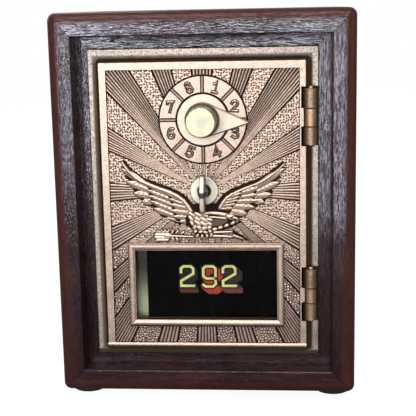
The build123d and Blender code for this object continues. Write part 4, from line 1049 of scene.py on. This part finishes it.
class Relief:        # a height map over the eagle's box, with how dark each point is from patina and painted shade
    def __init__(self, settings):
        self.left, right, self.foot, top = settings["box"]
        self.step = settings["grid"]
        across = np.arange(self.left, right, self.step)
        along = np.arange(self.foot, top, self.step)
        self.x, self.z = np.meshgrid(across, along, indexing="ij")
        self.height = np.full(self.x.shape, -1.0)
        self.patinaAndShade = np.ones(self.x.shape)

    def lay(self, inside, height, patinaAndShade):
        self.height = np.where(inside, height, self.height)
        self.patinaAndShade = np.where(inside, np.clip(patinaAndShade, 0, 1), self.patinaAndShade)

    def feather(self, root, tip, halfRoot, halfTip, lift, rise):
        axis = np.subtract(tip, root)
        length = math.hypot(*axis)
        ux, uz = axis / length
        along = ((self.x - root[0]) * ux + (self.z - root[1]) * uz) / length
        aside = -(self.x - root[0]) * uz + (self.z - root[1]) * ux
        half = halfRoot + (halfTip - halfRoot) * np.clip(along, 0, 1) ** plume["taper"]
        end = 1 + 0.8 * halfTip / length
        blunt = np.clip((along - plume["bluntFrom"]) / (end - plume["bluntFrom"]), 0, 1)
        half = half * np.clip(1 - blunt ** 2.0, 1e-4, 1) ** 0.85
        lower = aside * (1 if ux < 0 else -1)        # grows towards the feather's underside
        v = np.abs(aside) / half
        slanted = along * length * plume["barbPitch"] + np.abs(aside) * plume["barbSlant"]
        barbs = plume["barbHeight"] * np.sin(slanted)
        quill = plume["quillHeight"] * np.exp(-(aside / plume["quillHalf"]) ** 2)
        height = lift + rise * np.sqrt(np.clip(1 - v ** plume["fullness"], 0, 1))
        height = height - plume["slope"] * lower / half + (barbs + quill) * (v < 0.8)
        # the dark outline is patina between the feathers, thickened on the underside as painted shade
        thick = eagle["outline"] * np.where(lower > 0, plume["lowerOutline"], plume["upperOutline"])
        dark = np.clip((thick + 0.08 - (half - np.abs(aside))) / 0.16, 0, 1)
        dark = np.maximum(dark, np.clip((eagle["tipOutline"] + 0.1 - (end - along) * length) / 0.2, 0, 1))
        streak = np.clip(1 - np.abs(lower - plume["streakAt"] * half) / plume["streakHalf"], 0, 1)
        streak = plume["streak"] * streak * (along > 0.2) * (half > 0.55)
        self.lay((v < 1) & (along > -0.02) & (along < end), height, np.maximum(dark, streak))

    def stroke(self, path, halfStart, halfEnd, lift, rise, patinaAndShade=0.0, rim=0.72):
        path = np.array(path, float)
        lengths = np.hypot(*np.diff(path, axis=0).T)
        total, done = lengths.sum(), 0.0
        best = np.full(self.x.shape, 1e9)
        for (ax, az), (bx, bz), length in zip(path, path[1:], lengths):
            t = np.clip(((self.x - ax) * (bx - ax) + (self.z - az) * (bz - az)) / length ** 2, 0, 1)
            gap = np.hypot(self.x - ax - t * (bx - ax), self.z - az - t * (bz - az))
            half = halfStart + (halfEnd - halfStart) * (done + t * length) / total
            best = np.minimum(best, gap / half)
            done += length
        dark = patinaAndShade + np.clip((best - rim) / 0.2, 0, 1)
        self.lay(best < 1, lift + rise * np.sqrt(np.clip(1 - best ** 2, 0, 1)), dark)

    def lump(self, centre, radii, turn, lift, rise, patinaAndShade=0.0, rim=0.7):
        c, s = math.cos(math.radians(turn)), math.sin(math.radians(turn))
        dx, dz = self.x - centre[0], self.z - centre[1]
        v = np.hypot((dx * c + dz * s) / radii[0], (dz * c - dx * s) / radii[1])
        dark = patinaAndShade + np.clip((v - rim) / 0.22, 0, 1)
        self.lay(v < 1, lift + rise * np.sqrt(np.clip(1 - v ** 2, 0, 1)), dark)


def spread(mask, cells):        # grows a mask by a number of grid cells
    grown = mask.copy()
    for dx in range(-cells, cells + 1):
        for dz in range(-cells, cells + 1):
            if dx * dx + dz * dz <= cells * cells:
                grown |= np.roll(np.roll(mask, dx, 0), dz, 1)
    return grown


def offsetPath(path, shift):        # the same line moved up its own normal
    path = np.array(path, float)
    way = np.gradient(path, axis=0)
    way /= np.hypot(*way.T)[:, None]
    normal = np.stack([-way[:, 1], way[:, 0]], 1)
    normal *= np.sign(normal[:, 1:2])
    return path + normal * shift


def carveEagle():
    art = Relief(eagle)
    lift = eagle["lift"]

    def layStrokes(name):
        for path, halfStart, halfEnd, above, rise, patinaAndShade, rim in eagle[name]:
            art.stroke(path, halfStart, halfEnd, lift + above, rise, patinaAndShade, rim)

    def layLumps(name):
        radii, above, rise, patinaAndShade, rim, spots = eagle[name]
        for x, up, turn in spots:
            art.lump((x, up), radii, turn, lift + above, rise, patinaAndShade, rim)

    def darken(path, halves):
        art.stroke(path, *halves, eagle["rimOut"], plume["flat"], patinaAndShade=1.0)

    layLumps("lockShade")
    for name, shifts, *_ in eagle["leads"]:
        for shift in shifts:        # painted shade beside the wing's leading edge, wider towards the body
            darken(offsetPath(eagle[name], shift), eagle["leadShade"])
    for number, (tips, roots) in enumerate(eagle["rows"]):
        layer = number % 3
        for tip, root in zip(tips, roots):        # dark bed between the feathers: patina and painted shade
            darken((root, np.add(root, np.subtract(tip, root) * plume["bedLength"])), plume["bed"])
        for k in reversed(range(len(tips) - 1)):
            tip = np.add(tips[k], tips[k + 1]) / 2
            root = np.add(roots[k], roots[k + 1]) / 2
            axis = (tip - root) / math.hypot(*(tip - root))
            normal = np.array([-axis[1], axis[0]])
            halfTip = abs(np.dot(np.subtract(tips[k], tips[k + 1]), normal)) / 2
            halfRoot = abs(np.dot(np.subtract(roots[k], roots[k + 1]), normal)) / 2
            halfRoot = max(halfRoot, plume["rootLeast"]) + plume["rootMore"]
            halfTip = min(max(halfTip, plume["tipLeast"]), plume["tipMost"]) + plume["tipMore"]
            art.feather(root - axis * plume["rootIn"], tip, halfRoot, halfTip,
                        lift + plume["layerStep"] * layer, plume["rise"])
    for name, _, halfStart, halfEnd, above, rise, rim in eagle["leads"]:        # rounded leading edges
        art.stroke(eagle[name], halfStart, halfEnd, lift + above, rise, rim=rim)
    for row, (start, stop) in enumerate(eagle["fletching"]):
        up = eagle["rowUp"] - eagle["rowStep"] * row
        art.stroke(((start, up), (stop, up)), eagle["rowHalf"], eagle["rowHalf"], lift, eagle["rowRise"])
    layLumps("barbs")
    layLumps("leaves")
    layStrokes("shafts")
    art.feather((11.2, -12.4), (16.6, -14.2), 0.95, 0.35, lift + 0.05, 0.4)
    # breast, claws and the shaded throat
    layLumps("breastBed")
    layLumps("chestBed")
    for x, up, turn, length, width in reversed(eagle["breast"]):
        art.lump((x, up), (length * 1.1, width * 1.12), turn, lift + 0.40, 0.38, rim=0.76)
    layLumps("claws")
    layStrokes("throat")
    layLumps("chest")
    # neck, head and hooked beak
    layStrokes("neck")
    layLumps("head")
    layStrokes("beak")
    layLumps("eye")
    return art


def eagleMesh(art):
    shown = art.height > 0
    body = spread(shown, round(eagle["rim"] / art.step))
    rim = body & ~shown
    height = np.where(rim, eagle["rimOut"], art.height)
    soft = height.copy()        # one light smoothing takes the grid's steps away
    for axis in (0, 1):
        soft = 0.25 * np.roll(soft, 1, axis) + 0.5 * soft + 0.25 * np.roll(soft, -1, axis)
    whole = spread(~body, 1)
    height = np.where(whole, height, soft)
    height = np.where(body, height, eagle["rimOut"])
    # the rim round the eagle is dark all round: patina and painted shade at its edge
    patinaAndShade = np.where(rim, 1.0, art.patinaAndShade)
    cells = body[:-1, :-1] & body[1:, :-1] & body[:-1, 1:] & body[1:, 1:]
    index = -np.ones(body.shape, int)
    i, j = np.nonzero(cells)
    corners = [(i, j), (i + 1, j), (i + 1, j + 1), (i, j + 1)]
    used = np.zeros(body.shape, bool)
    for a, b in corners:
        used[a, b] = True
    index[used] = np.arange(used.sum())
    x, z, h, r = art.x[used], art.z[used], height[used], patinaAndShade[used]
    count = len(x)
    front = [place(*p) for p in zip(x, h, z)]
    back = [place(*p) for p in zip(x, np.full(count, eagle["back"]), z)]
    quads = np.stack([index[a, b] for a, b in corners], 1)
    faces = [tuple(q) for q in quads.tolist()] + [tuple(q) for q in (quads[:, ::-1] + count).tolist()]
    tops = [True] * len(quads) + [False] * len(quads)
    pairs = dict.fromkeys((a, b) for q in quads.tolist() for a, b in zip(q, q[1:] + q[:1]))
    border = [(a, b) for a, b in pairs if (b, a) not in pairs]
    faces += [(b, a, a + count, b + count) for a, b in border]
    tops += [False] * len(border)
    piece = meshObject("eagle_relief", front + back, faces, tops)
    shade = piece.data.attributes.new("patinaAndShade", "FLOAT", "POINT")
    shade.data.foreach_set("value", np.concatenate([r, np.ones(count)]))
    return piece


eaglePiece = eagleMesh(carveEagle())
hangOnDoor(eaglePiece, "eagleBrass")
print("eagle", len(eaglePiece.data.polygons), "faces")


# numerals on the dial and the painted number
roundDigits = {        # strokes in a box one unit high
    "1": (((-0.17, 0.30), (0.0, 0.40), (0.04, 0.5), (0.04, -0.47)), ((-0.17, -0.49), (0.24, -0.49))),
    "2": (((-0.28, 0.26), (-0.22, 0.40), (-0.08, 0.49), (0.10, 0.49), (0.25, 0.38), (0.27, 0.22), (0.18, 0.04),
           (-0.04, -0.20), (-0.27, -0.47), (0.0, -0.47), (0.30, -0.47)),),
    "3": (((-0.26, 0.36), (-0.10, 0.49), (0.10, 0.49), (0.25, 0.38), (0.24, 0.20), (0.12, 0.07), (-0.04, 0.04),
           (0.15, 0.0), (0.28, -0.14), (0.28, -0.32), (0.13, -0.46), (-0.08, -0.49), (-0.27, -0.36)),),
    "4": (((0.13, -0.5), (0.13, 0.48), (-0.30, -0.20), (0.32, -0.20)),),
    "5": (((0.25, 0.48), (-0.18, 0.48), (-0.23, 0.07), (-0.02, 0.15), (0.18, 0.08), (0.28, -0.12),
           (0.25, -0.34), (0.08, -0.48), (-0.12, -0.48), (-0.28, -0.36)),),
    "6": (((0.20, 0.44), (0.04, 0.50), (-0.14, 0.40), (-0.26, 0.12), (-0.28, -0.20), (-0.18, -0.42),
           (0.0, -0.49), (0.18, -0.42), (0.27, -0.20), (0.18, 0.0), (0.0, 0.07), (-0.18, 0.0),
           (-0.26, -0.14)),),
    "7": (((-0.28, 0.30), (-0.28, 0.47), (0.28, 0.47), (0.08, 0.06), (-0.06, -0.5)),),
    "8": (((0.0, 0.05), (-0.18, 0.14), (-0.20, 0.34), (-0.10, 0.48), (0.10, 0.48), (0.20, 0.34), (0.18, 0.14),
           (0.0, 0.05), (-0.22, -0.08), (-0.26, -0.30), (-0.12, -0.48), (0.12, -0.48), (0.26, -0.30),
           (0.22, -0.08), (0.0, 0.05)),),
}
blockDigits = {        # strokes with cut corners, as a sign painter makes them
    "2": (((-0.25, 0.17), (-0.25, 0.32), (-0.15, 0.41), (0.15, 0.41), (0.25, 0.32), (0.25, 0.10),
           (-0.25, -0.20), (-0.25, -0.41), (0.27, -0.41)),),
    "9": (((0.25, -0.10), (-0.13, -0.10), (-0.25, 0.0), (-0.25, 0.32), (-0.15, 0.41), (0.15, 0.41),
           (0.25, 0.32), (0.25, -0.34), (0.14, -0.44), (-0.16, -0.44), (-0.25, -0.37)),),
}


def ribbon(path, half, low, high, crest):        # a closed bar along a path; points are (x, out, up) in mm
    path = [np.array(p, float) for p in path]
    count = len(path)
    points, faces = [], []
    for k, here in enumerate(path):
        before = here - path[k - 1] if k else path[1] - here
        after = path[k + 1] - here if k < count - 1 else here - path[k - 1]
        before, after = before / math.hypot(*before), after / math.hypot(*after)
        way = before + after
        way = way / max(math.hypot(*way), 1e-6)
        normal = np.array([-way[1], way[0]])
        width = half / max(abs(np.dot(normal, [-after[1], after[0]])), 0.45)
        centre = here - before * half if k == 0 else (here + after * half if k == count - 1 else here)
        for aside, out in ((-1, low), (-1, high), (0, high + crest), (1, high), (1, low)):
            x, z = centre + normal * width * aside
            points.append((x, out, z))
    for k in range(count - 1):
        a, b = 5 * k, 5 * (k + 1)
        faces += [(a + n, a + (n + 1) % 5, b + (n + 1) % 5, b + n) for n in range(5)]
    faces += [(4, 3, 2, 1, 0), tuple(5 * (count - 1) + n for n in range(5))]
    return points, faces


def strokesObject(name, strokes, half, low, high, crest, finish):
    points, faces = [], []
    for path in strokes:
        some, sides = ribbon(path, half, low, high, crest)
        faces += [tuple(i + len(points) for i in face) for face in sides]
        points += some
    piece = meshObject(name, [place(*p) for p in points], faces)
    fixNormals(piece.data)
    hangOnDoor(piece, finish)


dialNumerals = {        # sizes in mm; how far each figure leans, in degrees
    "radius": 13.9, "height": 4.05, "half": 0.31, "outline": 0.38, "face": 2.0, "rise": 0.12, "crest": 0.16,
    "sunk": 0.05, "ink": 0.03,
    "leans": {1: 16, 2: 3, 3: 0, 4: -22, 5: 22, 6: 0, 7: 0, 8: -24},
}


def dialStrokes():
    strokes = []
    for number, lean in dialNumerals["leans"].items():
        around = math.radians(45 * number - 22.5)
        cx = dialNumerals["radius"] * math.sin(around)
        cz = dialPlace["up"] + dialNumerals["radius"] * math.cos(around)
        c, s = (dialNumerals["height"] * turn(math.radians(lean)) for turn in (math.cos, math.sin))
        for path in roundDigits[str(number)]:
            strokes.append([(cx + x * c + z * s, cz + z * c - x * s) for x, z in path])
    return strokes


face = dialNumerals["face"]
strokesObject("dial_numeral_ground", dialStrokes(), dialNumerals["half"] + dialNumerals["outline"],
              face - dialNumerals["sunk"], face + dialNumerals["ink"], 0.0, "dialInk")
strokesObject("dial_numerals", dialStrokes(), dialNumerals["half"], face, face + dialNumerals["rise"],
              dialNumerals["crest"], "castBrass_numerals")

boxNumber = {"digits": "292", "centres": (-8.3, 1.0, 9.2), "up": -30.8, "height": 10.2, "half": 0.53,
             "outline": 0.58, "plateOut": -3.6, "shadeSteps": 4,
             "shades": ((0.7, -1.9, "brownPaint"), (1.7, -2.1, "redPaint"), (1.8, -2.0, "rosePaint"))}


def numberStrokes(digit, centre, shift):
    size = boxNumber["height"]
    return [[(centre + x * size + shift[0], boxNumber["up"] + z * size + shift[1]) for x, z in path]
            for path in blockDigits[digit]]


def paintNumber():
    low, half, steps = boxNumber["plateOut"] - 0.02, boxNumber["half"], boxNumber["shadeSteps"]
    wide = half + boxNumber["outline"]
    rows = zip(boxNumber["digits"], boxNumber["centres"], boxNumber["shades"])
    for index, (digit, centre, (shadeX, shadeZ, shadePaint)) in enumerate(rows, 1):
        coats = [(f"shade_{index}_{step}", (shadeX * step / steps, shadeZ * step / steps), wide,
                  0.04 + 0.004 * step, shadePaint) for step in range(1, steps + 1)]
        coats += [(f"outline_{index}", (0, 0), wide, 0.07, "outlinePaint"),
                  (f"gold_{index}", (0, 0), half, 0.10, "goldPaint")]
        for name, shift, width, thick, paint in coats:
            strokesObject("number_" + name, numberStrokes(digit, centre, shift), width, low, low + thick,
                          0.0, paint)


paintNumber()
print("numerals and painted number are on")
